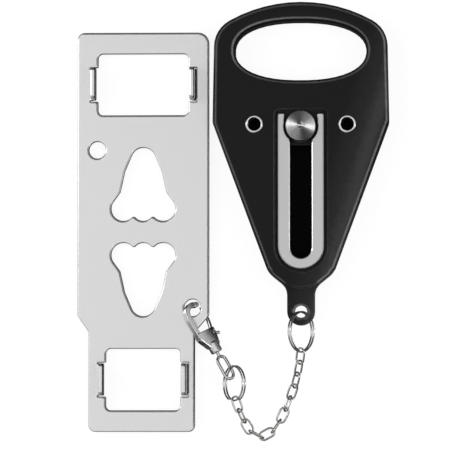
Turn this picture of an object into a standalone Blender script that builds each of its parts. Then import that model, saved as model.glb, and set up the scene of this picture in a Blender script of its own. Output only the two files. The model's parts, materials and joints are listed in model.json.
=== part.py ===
"""Portable door lock: a strike plate with claws, chained to a moulded lock body with a sliding button."""

from math import acos, asin, atan2, ceil, cos, hypot, pi, radians, sin, sqrt, tan

import bmesh
import bpy
from mathutils import Matrix, Vector

MM = 0.001
GAP = 0.3 * MM
CUT_OVERRUN = 1.0 * MM
ARC_STEP = radians(15)
FINE_ARC_STEP = radians(11)
COARSE_ARC_STEP = radians(30)
ARC_SAG = 0.06 * MM
ROUND_END_SHARE = 0.999
SMOOTH_ANGLE = radians(30)

# Strike plate: its back face is the plane z = 0, its length runs along Y
PLATE_LENGTH = 166.8 * MM
PLATE_WIDTH = 55.0 * MM
PLATE_THICKNESS = 2.0 * MM
PLATE_CORNER_RADIUS = 2.8 * MM
PLATE_LARGE_CORNER_RADIUS = 4.6 * MM
NECK_STEP_LEFT = 4.7 * MM
NECK_STEP_RIGHT = 5.9 * MM
NECK_LEFT = PLATE_WIDTH / 2 - NECK_STEP_LEFT
NECK_RIGHT = PLATE_WIDTH / 2 - NECK_STEP_RIGHT
SHOULDER_Y = -35.0 * MM
NECK_Y = -41.8 * MM
SHOULDER_FILLET = 2.6 * MM
WINDOW_END_MARGIN = 9.0 * MM
WINDOW_HEIGHT = 25.6 * MM
WINDOW_CENTRE_Y = PLATE_LENGTH / 2 - WINDOW_END_MARGIN - WINDOW_HEIGHT / 2
WINDOW_INNER_Y = WINDOW_CENTRE_Y - WINDOW_HEIGHT / 2
WINDOW_CORNER_RADIUS = 2.0 * MM
TOP_WINDOW_HALF_WIDTH = 18.9 * MM
BOTTOM_WINDOW_HALF_WIDTH = 15.5 * MM
CLAW_WIDTH = 13.4 * MM
CLAW_HEIGHT = 12.0 * MM
CLAW_SETBACK = 0.7 * MM
CLAW_BEND_RADIUS = 0.8 * MM
CLAW_RELIEF = 0.35 * MM
CLAW_TIP_RADIUS = 1.6 * MM
CLAW_BEND_STEPS = 5
CLAW_TIP_STEPS = 4
PLATE_HOLE_DIAMETER = 7.0 * MM
UPPER_HOLE_MARGIN = 8.3 * MM
UPPER_HOLE_X = UPPER_HOLE_MARGIN - PLATE_WIDTH / 2
UPPER_HOLE_DROP = 14.6 * MM
UPPER_HOLE_Y = WINDOW_INNER_Y - UPPER_HOLE_DROP
CHAIN_HOLE_MARGIN = 6.9 * MM
CHAIN_HOLE_X = PLATE_WIDTH / 2 - CHAIN_HOLE_MARGIN
CHAIN_HOLE_Y = -31.7 * MM

# Nose openings: heights count from the lobes' bottoms towards the dome
NOSE_BASE_Y = 4.6 * MM
NOSE_END_SPACE = 13.6 * MM
NOSE_HEIGHT = WINDOW_INNER_Y - NOSE_END_SPACE - NOSE_BASE_Y
NOSE_HALF_WIDTH = 13.4 * MM
NOSE_DOME_RADIUS = 5.2 * MM
NOSE_DOME_START = radians(25)
NOSE_NOTCH_HALF_WIDTH = 9.6 * MM
NOSE_NOTCH_HEIGHT_SHARE = 0.389
NOSE_SIDE_HALF_WIDTH = 7.7 * MM
NOSE_SIDE_HEIGHT_SHARE = 0.673
NOSE_LOBE_RADIUS = 5.1 * MM
NOSE_LOBE_START = radians(-140)
NOSE_LOBE_END = radians(30)
NOSE_MIDDLE_LOBE_RADIUS = 4.4 * MM
NOSE_CUSP_HEIGHT = 2.0 * MM
NOSE_CUSP_HALF_WIDTH = 4.2 * MM

# Lock body: local origin on its back face, its length along Y, in step with the plate's Y
BODY_SPACE = 1.65 * MM
BODY_THICKNESS = 14.0 * MM
BODY_EDGE_ROUND = 2.0 * MM
CROWN_TOP = 95.3 * MM
CROWN_RADIUS = 61.0 * MM
CROWN_CORNER_RADIUS = 12.5 * MM
BODY_HALF_WIDTH = 36.75 * MM
BODY_X = PLATE_WIDTH / 2 + BODY_SPACE + BODY_HALF_WIDTH
CROWN_NARROWING = 0.75 * MM
CROWN_HALF_WIDTH = BODY_HALF_WIDTH - CROWN_NARROWING
BODY_SHOULDER_Y = 45.0 * MM
BODY_SHOULDER_RADIUS = 4.0 * MM
TAPER_END_HALF_WIDTH = 13.6 * MM
TAPER_END_Y = -17.4 * MM
TAPER_END_RADIUS = 8.0 * MM
TAIL_HALF_WIDTH = 5.8 * MM
TAIL_ROOT_Y = -23.8 * MM
TAIL_ROOT_RADIUS = 6.0 * MM
TAIL_HOLE_Y = -33.5 * MM
TAIL_HOLE_DIAMETER = 5.0 * MM
TAIL_COUNTERSINK_DIAMETER = 7.4 * MM
TAIL_COUNTERSINK_DEPTH = 0.7 * MM
TAIL_THICKNESS = 3.2 * MM
TAIL_MIDDLE_Z = 8.2 * MM
TAIL_STEP_Y = -23.6 * MM
TAIL_STEP_RADIUS = 15.0 * MM
TAIL_STEP_SWEEP = radians(60)
HANDLE_Y = 75.0 * MM
HANDLE_WALL = 8.7 * MM
HANDLE_HALF_WIDTH = CROWN_HALF_WIDTH - HANDLE_WALL
HANDLE_HALF_HEIGHT = 12.4 * MM
HANDLE_SQUARENESS = 2.3
HANDLE_POINTS = 44

# Steel track let into the front of the body
TRACK_HALF_WIDTH = 9.7 * MM
TRACK_THICKNESS = 1.6 * MM
TRACK_TOP_Y = 49.0 * MM
TRACK_BOTTOM_Y = -16.1 * MM
TRACK_BELOW_FACE = 0.3 * MM
SLOT_HALF_WIDTH = 4.35 * MM
SLOT_BOTTOM_Y = -11.3 * MM
TRACK_RECESS_MARGIN = 1.2 * MM
WEB_THICKNESS = 2.0 * MM
CHANNEL_HALF_WIDTH = 8.3 * MM
CHANNEL_TOP_Y = 53.0 * MM
CHANNEL_BOTTOM_Y = -12.6 * MM
CHANNEL_CORNER_RADIUS = 1.5 * MM

# Back cover and its fasteners
COVER_THICKNESS = 2.0 * MM
COVER_MARGIN = 5.0 * MM
COVER_TOP_Y = 57.0 * MM
COVER_BOTTOM_Y = -15.6 * MM
COVER_CORNER_RADIUS = 3.5 * MM
SCREW_HEAD_DIAMETER = 5.0 * MM
SCREW_HEAD_HEIGHT = 1.4 * MM
SCREW_SHANK_DIAMETER = 2.4 * MM
SCREW_LENGTH = 8.0 * MM
SCREW_TIP_SHARE = 0.6
SCREW_UPPER_X_SHARE = 0.653
SCREW_UPPER_Y = 52.0 * MM
SCREW_LOWER_X_SHARE = 0.576
SCREW_LOWER_Y = 3.0 * MM
SCREW_SLOT_WIDTH = 0.7 * MM
SCREW_SLOT_DEPTH = 0.6 * MM
EYELET_X_SHARE = 0.525
EYELET_X = BODY_HALF_WIDTH * EYELET_X_SHARE
EYELET_Y = 44.2 * MM
EYELET_FLANGE_DIAMETER = 7.5 * MM
EYELET_FLANGE_HEIGHT = 0.8 * MM
EYELET_BARREL_DIAMETER = 6.3 * MM
EYELET_BORE_DIAMETER = 5.4 * MM

# Sliding button
KNOB_Y = 43.3 * MM
KNOB_DIAMETER = 12.5 * MM
BAY_GAP = 0.55 * MM
BAY_RADIUS = KNOB_DIAMETER / 2 + BAY_GAP
BAY_MOUTH_SHARE = 0.97
KNOB_HEIGHT = 3.8 * MM
KNOB_CONE_HEIGHT = 0.9 * MM
KNOB_RIM_ROUND = 0.45 * MM
KNOB_RIM_EASE_SHARE = 0.3
KNOB_DIMPLE_DIAMETER = 2.0 * MM
KNOB_DIMPLE_DEPTH = 0.5 * MM
KNOB_DIMPLE_FLOOR_SHARE = 0.8
KNOB_PRESS = 1.0 * MM
KNOB_POCKET_DIAMETER = 8.0 * MM
KNOB_POCKET_DEPTH = 2.2 * MM
STEM_DIAMETER = 3.4 * MM
STEM_GROOVE_DIAMETER = 2.4 * MM
BLOCK_FLANGE_DIAMETER = 11.6 * MM
BLOCK_FLANGE_THICKNESS = 0.8 * MM
BLOCK_REACH = 7.2 * MM
SPRING_WIRE = 0.4 * MM
SPRING_DIAMETER = 5.6 * MM
SPRING_TURNS = 2.0
SPRING_POINTS_PER_TURN = 10
SHOE_HALF_WIDTH = 7.8 * MM
SHOE_HALF_LENGTH = 7.6 * MM
SHOE_THICKNESS = 2.4 * MM
SHOE_CORNER_RADIUS = 1.5 * MM
CLIP_DIAMETER = 6.0 * MM
CLIP_THICKNESS = 0.7 * MM
CLIP_MOUTH = 1.6 * MM
STEM_END = 0.8 * MM
STEM_SEAT_DEPTH = 0.5 * MM

# Levels of the body's pieces above its back face
TRACK_TOP_Z = BODY_THICKNESS - TRACK_BELOW_FACE
TRACK_LOW_Z = TRACK_TOP_Z - TRACK_THICKNESS
RECESS_FLOOR_Z = TRACK_LOW_Z - GAP
WEB_LOW_Z = RECESS_FLOOR_Z - WEB_THICKNESS
COVER_SEAT_Z = COVER_THICKNESS + GAP
FLANGE_LOW_Z = TRACK_TOP_Z + GAP
FLANGE_TOP_Z = FLANGE_LOW_Z + BLOCK_FLANGE_THICKNESS
CAP_LOW_Z = FLANGE_TOP_Z + KNOB_PRESS + GAP
POCKET_TOP_Z = CAP_LOW_Z + KNOB_POCKET_DEPTH
SHOE_TOP_Z = WEB_LOW_Z - GAP
SHOE_LOW_Z = SHOE_TOP_Z - SHOE_THICKNESS
CLIP_TOP_Z = SHOE_LOW_Z - GAP
CLIP_LOW_Z = CLIP_TOP_Z - CLIP_THICKNESS

# Clasp: hooked through the plate's lower hole, rolled about its own length
CLASP_HEADING = radians(-61.2)
CLASP_ROLL = radians(40)
HOOK_THICKNESS = 2.4 * MM
HOOK_HALF_WIDTH = 1.0 * MM
HOOK_EDGE_ROUND = 0.4 * MM
CLASP_BASE_THICKNESS = 3.2 * MM
CLASP_BASE_START = 10.8 * MM
CLASP_BASE_SHOULDER = 13.4 * MM
CLASP_BASE_END = 18.6 * MM
CLASP_BASE_HIGH = 5.6 * MM
CLASP_BASE_LOW = 3.6 * MM
CLASP_BASE_CORNER_RADIUS = 1.2 * MM
BARREL_START = 16.4 * MM
BARREL_END = 21.2 * MM
BARREL_DIAMETER = 5.0 * MM
GATE_DIAMETER = 1.6 * MM
PIVOT_ALONG = 13.0 * MM
PIVOT_OFFSET = 2.6 * MM
PIN_DIAMETER = 1.2 * MM
PIN_CHAMFER_SHARE = 0.3
GATE_EYE_DIAMETER = 2.9 * MM
GATE_EYE_THICKNESS = 1.2 * MM
GATE_SLOT_THICKNESS = 2.0 * MM
GATE_SLOT_END = 15.2 * MM
GATE_SLOT_INNER = 0.4 * MM
LEVER_DIAMETER = 1.3 * MM
SWIVEL_BORE_DIAMETER = 1.9 * MM
SWIVEL_POCKET_DIAMETER = 3.2 * MM
SWIVEL_POCKET_LENGTH = 1.9 * MM
SWIVEL_SHANK_DIAMETER = 1.3 * MM
SWIVEL_HEAD_DIAMETER = 2.6 * MM
SWIVEL_WALL = 1.5 * MM
EYE_WIRE = 1.3 * MM
EYE_HALF_WIDTH = 2.9 * MM
EYE_START = 22.6 * MM
EYE_END = 34.2 * MM
EYE_ARC_STEP = radians(22.5)
TRIGGER_SPRING_WIRE = 0.3 * MM
TRIGGER_SPRING_DIAMETER = 1.5 * MM
TRIGGER_SPRING_LENGTH = 2.3 * MM
TRIGGER_SPRING_TURNS = 2.5
TRIGGER_SPRING_OFFSET = 1.6 * MM

# Centre line of the hook, each point's offset to the high side and its distance along the clasp
HOOK_LINE = (
    (4.6 * MM, 12.0 * MM),
    (4.8 * MM, 7.0 * MM),
    (4.8 * MM, 3.2 * MM),
    (3.7 * MM, 0.2 * MM),
    (0.8 * MM, -1.2 * MM),
    (-2.1 * MM, -0.5 * MM),
)

# Centre line of the trigger's arm from the pivot to its tip, in the same terms
GATE_LINE = (
    (-2.6 * MM, 13.0 * MM),
    (-3.4 * MM, 10.2 * MM),
    (-3.95 * MM, 7.5 * MM),
    (-4.1 * MM, 4.0 * MM),
    (-3.9 * MM, 1.2 * MM),
)

# Centre line of the thumb lever: offset, distance along and height out of the clasp's middle plane
LEVER_LINE = (
    (-2.6 * MM, 13.0 * MM, 0.0),
    (-4.0 * MM, 13.5 * MM, 0.05 * MM),
    (-4.9 * MM, 13.9 * MM, 0.45 * MM),
    (-5.7 * MM, 14.2 * MM, 0.95 * MM),
)

# Split rings and chain
RING_WIRE = 0.8 * MM
RING_TURN_GAP = 0.42 * MM
RING_TURNS = 1.9
RING_POINTS_PER_TURN = 26
RING_HOLD = 1.65 * MM
BODY_RING_RADIUS = 8.4 * MM
BODY_RING_TILT = radians(54)
CLASP_RING_RADIUS = 7.2 * MM
CLASP_RING_TILT = radians(57)
CLASP_RING_OFFSET = 17.5 * MM
CLASP_RING_X = CHAIN_HOLE_X + CLASP_RING_OFFSET
CLASP_RING_Y = -63.2 * MM
CLASP_RING_HEIGHT = 7.64 * MM
CLASP_RING_JOINT_ANGLE = radians(131.5)
LINK_COUNT = 12
LINK_WIRE = 0.9 * MM
LINK_WIDTH = 4.6 * MM
LINK_GAP = 0.6 * MM
ROUTE_STEPS = 40

# The chain's lowest run lies on the surface, its ends climb to the rings. Each place of the route is given by
# its share of the way across from the clasp ring to the body ring, its y and its height above that surface.
CHAIN_ROUTE = (
    (0.953, -58.4 * MM, 5.4 * MM),
    (0.860, -67.0 * MM, 2.6 * MM),
    (0.737, -75.6 * MM, 2.3 * MM),
    (0.586, -82.8 * MM, 2.3 * MM),
    (0.421, -86.0 * MM, 2.6 * MM),
    (0.255, -84.0 * MM, 3.4 * MM),
    (0.147, -79.2 * MM, 5.2 * MM),
    (0.076, -74.6 * MM, 7.2 * MM),
)

# What lies under the plate lifts its back face by this much from the surface
PLATE_LIFT = 2.7 * MM
FLOOR_Z = -PLATE_LIFT


def clear_scene():
    """Removes every object that the file holds."""
    for thing in list(bpy.data.objects):
        bpy.data.objects.remove(thing, do_unlink=True)


def make_material(name, colour, roughness, metallic):
    """A Principled material of one finish."""
    material = bpy.data.materials.new(name)
    material.use_nodes = True
    shader = material.node_tree.nodes["Principled BSDF"]
    shader.inputs["Base Color"].default_value = (*colour, 1.0)
    shader.inputs["Roughness"].default_value = roughness
    shader.inputs["Metallic"].default_value = metallic
    return material


def place(name, bm, material, parent=None, matrix=None):
    """Turns a bmesh into a named object, shaded smooth but for its sharper edges."""
    bmesh.ops.recalc_face_normals(bm, faces=bm.faces)
    mesh = bpy.data.meshes.new(name)
    bm.to_mesh(mesh)
    bm.free()
    mesh.shade_smooth()
    mesh.set_sharp_from_angle(angle=SMOOTH_ANGLE)
    if material is not None:
        mesh.materials.append(material)
    thing = bpy.data.objects.new(name, mesh)
    bpy.context.collection.objects.link(thing)
    thing.parent = parent
    if matrix is not None:
        thing.matrix_local = matrix
    return thing


def frame_at(name, matrix, parent=None):
    """An empty that carries the pieces of one moving group."""
    frame = bpy.data.objects.new(name, None)
    bpy.context.collection.objects.link(frame)
    frame.parent = parent
    frame.matrix_local = matrix
    return frame


def combine(target, tool, operation="DIFFERENCE"):
    """Cuts a tool out of a target, or joins it on, and hides the tool."""
    tool.hide_render = True
    tool.display_type = "WIRE"
    change = target.modifiers.new(tool.name, "BOOLEAN")
    change.operation = operation
    change.solver = "EXACT"
    change.object = tool
    return change


def arc(centre_x, centre_y, radius, start, end, step=ARC_STEP):
    """Points of an arc, both ends included, closer together where the radius is large."""
    step = min(step, 2 * acos(1 - min(1, ARC_SAG / radius)))
    count = max(1, ceil(abs(end - start) / step))
    angles = [start + (end - start) * i / count for i in range(count + 1)]
    return [(centre_x + radius * cos(a), centre_y + radius * sin(a)) for a in angles]


def rounded(corners, step=ARC_STEP):
    """A closed outline through corners given as x, y and radius, each corner rounded by its own radius."""
    points = []
    for i, (x, y, radius) in enumerate(corners):
        if radius == 0:
            points.append((x, y))
            continue
        before = Vector(corners[i - 1][:2]) - Vector((x, y))
        after = Vector(corners[(i + 1) % len(corners)][:2]) - Vector((x, y))
        before.normalize()
        after.normalize()
        half = before.angle(after) / 2
        centre = Vector((x, y)) + (before + after).normalized() * radius / sin(half)
        start = Vector((x, y)) + before * radius / tan(half) - centre
        end = Vector((x, y)) + after * radius / tan(half) - centre
        first = atan2(start.y, start.x)
        turn = (atan2(end.y, end.x) - first + pi) % (2 * pi) - pi
        points += arc(centre.x, centre.y, radius, first, first + turn, step)
    return points


def without_repeats(points):
    """Drops points that fall on the one before."""
    kept = []
    for x, y in points:
        if not kept or hypot(x - kept[-1][0], y - kept[-1][1]) > GAP / 10:
            kept.append((x, y))
    if hypot(kept[0][0] - kept[-1][0], kept[0][1] - kept[-1][1]) <= GAP / 10:
        kept.pop()
    return kept


def circle(x, y, radius, step=ARC_STEP):
    """A closed ring of points."""
    count = ceil(2 * pi / step)
    angles = [2 * pi * i / count for i in range(count)]
    return [(x + radius * cos(a), y + radius * sin(a)) for a in angles]


def slab(outlines, low, high):
    """A plate between two heights, from an outer outline and any holes in it."""
    bm = bmesh.new()
    edges = []
    for outline in outlines:
        points = without_repeats(outline)
        corners = [bm.verts.new((x, y, low)) for x, y in points]
        edges += [bm.edges.new((a, b)) for a, b in zip(corners, corners[1:] + corners[:1])]
    bmesh.ops.triangle_fill(bm, use_beauty=True, use_dissolve=False, edges=edges, normal=(0, 0, 1))
    faces = bmesh.ops.extrude_face_region(bm, geom=bm.faces[:])
    raised = [v for v in faces["geom"] if isinstance(v, bmesh.types.BMVert)]
    bmesh.ops.translate(bm, verts=raised, vec=(0, 0, high - low))
    bmesh.ops.recalc_face_normals(bm, faces=bm.faces)
    return bm


def round_rims(bm, low, high, radius, segments, held_back=True):
    """Rounds the edges all in the bottom or the top face of a slab, held back where they would meet if asked."""
    tiny = radius / 100
    bm.normal_update()
    rims = []
    for edge in bm.edges:
        level = [v.co.z for v in edge.verts]
        flat = all(abs(z - low) < tiny for z in level) or all(abs(z - high) < tiny for z in level)
        upright = any(abs(face.normal.z) < 0.5 for face in edge.link_faces)
        if flat and upright:
            rims.append(edge)
    settings = {"segments": segments, "profile": 0.5, "affect": "EDGES", "clamp_overlap": held_back}
    bmesh.ops.bevel(bm, geom=rims, offset=radius, **settings)


def turned(profile, count=24):
    """A solid of revolution about Z, from points of radius and height, top to bottom on the outside."""
    bm = bmesh.new()
    rings = []
    for radius, height in profile:
        if radius == 0:
            rings.append([bm.verts.new((0, 0, height))])
        else:
            angles = [2 * pi * i / count for i in range(count)]
            rings.append([bm.verts.new((radius * cos(a), radius * sin(a), height)) for a in angles])
    closed = profile[0][0] != 0
    pairs = list(zip(rings, rings[1:] + rings[:1])) if closed else list(zip(rings, rings[1:]))
    for upper, lower in pairs:
        for i in range(count):
            j = (i + 1) % count
            above = [upper[i % len(upper)], upper[j % len(upper)]]
            loop = above + [lower[j % len(lower)], lower[i % len(lower)]]
            bm.faces.new([v for k, v in enumerate(loop) if v not in loop[:k]])
    bmesh.ops.recalc_face_normals(bm, faces=bm.faces)
    return bm


def tube(points, radius, closed=False, sides=8, up=None):
    """A round tube along points; its sides follow up, or else a frame that turns as little as it can."""
    bm = bmesh.new()
    count = len(points)
    rings = []
    normal = up
    for i, point in enumerate(points):
        if closed:
            along = (points[(i + 1) % count] - points[i - 1]).normalized()
        else:
            along = (points[min(i + 1, count - 1)] - points[max(i - 1, 0)]).normalized()
        if normal is None:
            normal = along.orthogonal().normalized()
        normal = (normal - along * normal.dot(along)).normalized()
        side = along.cross(normal)
        angles = [2 * pi * (k + 0.5) / sides for k in range(sides)]
        rings.append([bm.verts.new(point + (normal * cos(a) + side * sin(a)) * radius) for a in angles])
    pairs = zip(rings, rings[1:] + rings[:1]) if closed else zip(rings, rings[1:])
    for first, second in pairs:
        for k in range(sides):
            j = (k + 1) % sides
            bm.faces.new((first[k], first[j], second[j], second[k]))
    if not closed:
        bm.faces.new(reversed(rings[0]))
        bm.faces.new(rings[-1])
    return bm


def box(low, high):
    """A block between two corners."""
    bm = bmesh.new()
    size = Vector(high) - Vector(low)
    middle = (Vector(high) + Vector(low)) / 2
    bmesh.ops.create_cube(bm, size=1.0, matrix=Matrix.Translation(middle) @ Matrix.Diagonal((*size, 1.0)))
    return bm


def smooth_curve(points, steps):
    """Points of a Catmull-Rom curve through the given points."""
    padded = [points[0] * 2 - points[1], *points, points[-1] * 2 - points[-2]]
    out = []
    for a, b, c, d in zip(padded, padded[1:], padded[2:], padded[3:]):
        for i in range(steps):
            t = i / steps
            bend = (2 * a - 5 * b + 4 * c - d) * t**2
            twist = (3 * b - a - 3 * c + d) * t**3
            out.append((2 * b + (c - a) * t + bend + twist) / 2)
    return out + [points[-1]]


def window_outline(half_width, centre_y):
    """A window whose two sides step out to the bend lines of the claws."""
    bend_x = half_width + CLAW_SETBACK + CLAW_BEND_RADIUS + PLATE_THICKNESS
    half_height = WINDOW_HEIGHT / 2
    claw = CLAW_WIDTH / 2
    notch = claw + CLAW_RELIEF
    side = [
        (half_width, -half_height, WINDOW_CORNER_RADIUS),
        (half_width, -notch, 0),
        (bend_x, -notch, 0),
        (bend_x, -claw, 0),
        (bend_x, claw, 0),
        (bend_x, notch, 0),
        (half_width, notch, 0),
        (half_width, half_height, WINDOW_CORNER_RADIUS),
    ]
    corners = side + [(-x, -y, r) for x, y, r in side]
    return [(x, y + centre_y) for x, y in rounded(corners)]


def nose_outline(direction):
    """A nose-shaped opening: three lobes near the plate's middle and a dome that points along direction."""
    middle = NOSE_MIDDLE_LOBE_RADIUS
    cusp = 2 * atan2(NOSE_CUSP_HEIGHT, NOSE_CUSP_HALF_WIDTH)
    lobe = NOSE_LOBE_RADIUS
    dome = NOSE_DOME_RADIUS
    half = arc(0, middle, middle, -pi / 2, cusp - pi / 2, FINE_ARC_STEP)
    half += arc(NOSE_HALF_WIDTH - lobe, lobe, lobe, NOSE_LOBE_START, NOSE_LOBE_END, FINE_ARC_STEP)
    half += [
        (NOSE_NOTCH_HALF_WIDTH, NOSE_HEIGHT * NOSE_NOTCH_HEIGHT_SHARE),
        (NOSE_SIDE_HALF_WIDTH, NOSE_HEIGHT * NOSE_SIDE_HEIGHT_SHARE),
    ]
    half += arc(0, NOSE_HEIGHT - dome, dome, NOSE_DOME_START, pi / 2, FINE_ARC_STEP)
    outline = half + [(-x, y) for x, y in reversed(half)]
    return [(x, direction * (y + NOSE_BASE_Y)) for x, y in without_repeats(outline)]


def raise_claw(bm, side, half_width, centre_y):
    """Bends a claw up from the wall that the window's notch leaves at the bend line."""
    bend_x = half_width + CLAW_SETBACK + CLAW_BEND_RADIUS + PLATE_THICKNESS
    claw = CLAW_WIDTH / 2
    outer = CLAW_BEND_RADIUS + PLATE_THICKNESS
    tiny = GAP / 10
    start = []
    for y in (centre_y - claw, centre_y + claw):
        for z in (0, PLATE_THICKNESS):
            near = [v for v in bm.verts if (v.co - Vector((side * bend_x, y, z))).length < tiny]
            start.append(near[0])
    bm.faces.remove(bm.faces.get((start[0], start[1], start[3], start[2])))
    previous = start
    sections = []
    for i in range(1, CLAW_BEND_STEPS + 1):
        angle = pi / 2 * i / CLAW_BEND_STEPS
        below = (bend_x - outer * sin(angle), outer - outer * cos(angle))
        above = (bend_x - CLAW_BEND_RADIUS * sin(angle), outer - CLAW_BEND_RADIUS * cos(angle))
        sections.append((below, above, claw))
    face_x = bend_x - outer
    back_x = face_x + PLATE_THICKNESS
    for i in range(CLAW_TIP_STEPS + 1):
        angle = pi / 2 * i / CLAW_TIP_STEPS
        height = CLAW_HEIGHT - CLAW_TIP_RADIUS * (1 - sin(angle))
        width = claw - CLAW_TIP_RADIUS * (1 - cos(angle))
        sections.append(((face_x, height), (back_x, height), width))
    for below, above, width in sections:
        ring = []
        for y in (centre_y - width, centre_y + width):
            for x, z in (below, above):
                ring.append(bm.verts.new((side * x, y, z)))
        for a, b in ((0, 1), (1, 3), (3, 2), (2, 0)):
            bm.faces.new((previous[a], previous[b], ring[b], ring[a]))
        previous = ring
    bm.faces.new((previous[0], previous[1], previous[3], previous[2]))


def make_strike_plate(material):
    """The stamped plate with its windows, openings, holes and four claws."""
    top = PLATE_LENGTH / 2
    half = PLATE_WIDTH / 2
    corners = [
        (-half, top, PLATE_CORNER_RADIUS),
        (-half, SHOULDER_Y, SHOULDER_FILLET),
        (-NECK_LEFT, NECK_Y, SHOULDER_FILLET),
        (-NECK_LEFT, -top, PLATE_CORNER_RADIUS),
        (NECK_RIGHT, -top, PLATE_CORNER_RADIUS),
        (NECK_RIGHT, NECK_Y, SHOULDER_FILLET),
        (half, SHOULDER_Y, SHOULDER_FILLET),
        (half, top, PLATE_LARGE_CORNER_RADIUS),
    ]
    hole = PLATE_HOLE_DIAMETER / 2
    windows = (
        (TOP_WINDOW_HALF_WIDTH, WINDOW_CENTRE_Y),
        (BOTTOM_WINDOW_HALF_WIDTH, -WINDOW_CENTRE_Y),
    )
    outlines = [
        rounded(corners),
        *[window_outline(*window) for window in windows],
        nose_outline(1),
        nose_outline(-1),
        circle(UPPER_HOLE_X, UPPER_HOLE_Y, hole),
        circle(CHAIN_HOLE_X, CHAIN_HOLE_Y, hole),
    ]
    bm = slab(outlines, 0, PLATE_THICKNESS)
    for half_width, centre_y in windows:
        for side in (-1, 1):
            raise_claw(bm, side, half_width, centre_y)
    return place("strike_plate", bm, material)


def body_outline():
    """The casing's outline: crowned top whose arc runs into its corners, straight taper and round tail."""
    lean = asin((CROWN_HALF_WIDTH - CROWN_CORNER_RADIUS) / (CROWN_RADIUS - CROWN_CORNER_RADIUS))
    peak = CROWN_TOP - CROWN_RADIUS + CROWN_RADIUS / cos(lean)
    corner_y = peak - CROWN_HALF_WIDTH * tan(lean)
    half = [
        (TAIL_HALF_WIDTH, TAIL_HOLE_Y - TAIL_HALF_WIDTH, TAIL_HALF_WIDTH * ROUND_END_SHARE),
        (TAIL_HALF_WIDTH, TAIL_ROOT_Y, TAIL_ROOT_RADIUS),
        (TAPER_END_HALF_WIDTH, TAPER_END_Y, TAPER_END_RADIUS),
        (BODY_HALF_WIDTH, BODY_SHOULDER_Y, BODY_SHOULDER_RADIUS),
        (CROWN_HALF_WIDTH, corner_y, CROWN_CORNER_RADIUS * ROUND_END_SHARE),
    ]
    crown = [(0, peak, CROWN_RADIUS * ROUND_END_SHARE)]
    return rounded(half + crown + [(-x, y, r) for x, y, r in reversed(half)])


def taper_half_width(y):
    """The body's half width at a place along its taper."""
    slope = (BODY_HALF_WIDTH - TAPER_END_HALF_WIDTH) / (BODY_SHOULDER_Y - TAPER_END_Y)
    return TAPER_END_HALF_WIDTH + (y - TAPER_END_Y) * slope


def tail_relief(low, high):
    """The space cut away above or below the tail, bounded by the curved end of the thick part."""
    reach = BODY_HALF_WIDTH
    centre_y = TAIL_STEP_Y + TAIL_STEP_RADIUS
    start = TAIL_STEP_SWEEP - pi / 2
    edge = arc(0, centre_y, TAIL_STEP_RADIUS, start, -pi - start, FINE_ARC_STEP)
    far = -PLATE_LENGTH / 2
    sides = [(-reach, edge[-1][1]), (-reach, far), (reach, far), (reach, edge[0][1])]
    return slab([sides + edge], low, high)


def handle_outline():
    """The opening for the fingers, a squarish oval."""
    points = []
    for i in range(HANDLE_POINTS):
        angle = 2 * pi * (i + 0.5) / HANDLE_POINTS
        x = abs(cos(angle)) ** (2 / HANDLE_SQUARENESS)
        y = abs(sin(angle)) ** (2 / HANDLE_SQUARENESS)
        x = x if cos(angle) > 0 else -x
        y = y if sin(angle) > 0 else -y
        points.append((HANDLE_HALF_WIDTH * x, HANDLE_Y + HANDLE_HALF_HEIGHT * y))
    return points


def cover_outline(margin):
    """The back cover's outline, moved outward by a margin."""
    inset = COVER_MARGIN - margin
    low = COVER_BOTTOM_Y - margin
    top = COVER_TOP_Y + margin
    slope = (taper_half_width(top) - taper_half_width(low)) / (top - low)
    low_x = taper_half_width(low) - inset * sqrt(1 + slope**2)
    top_x = BODY_HALF_WIDTH - inset
    radius = COVER_CORNER_RADIUS + margin
    half = [
        (low_x, low, radius),
        (top_x, BODY_SHOULDER_Y, radius),
        (top_x, top, radius),
    ]
    return rounded(half + [(-x, y, r) for x, y, r in reversed(half)])


def strip_outline(half_width, low, high, radius):
    """A rounded rectangle about the body's middle line."""
    return rounded([
        (half_width, low, radius),
        (half_width, high, radius),
        (-half_width, high, radius),
        (-half_width, low, radius),
    ])


def screw_places():
    """Where the four cover screws stand."""
    upper = BODY_HALF_WIDTH * SCREW_UPPER_X_SHARE
    lower = taper_half_width(SCREW_LOWER_Y) * SCREW_LOWER_X_SHARE
    return (
        (-upper, SCREW_UPPER_Y),
        (upper, SCREW_UPPER_Y),
        (-lower, SCREW_LOWER_Y),
        (lower, SCREW_LOWER_Y),
    )


def cutter(name, bm, frame, matrix):
    """A hidden cutting body."""
    return place(name, bm, None, frame, matrix)


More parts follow.
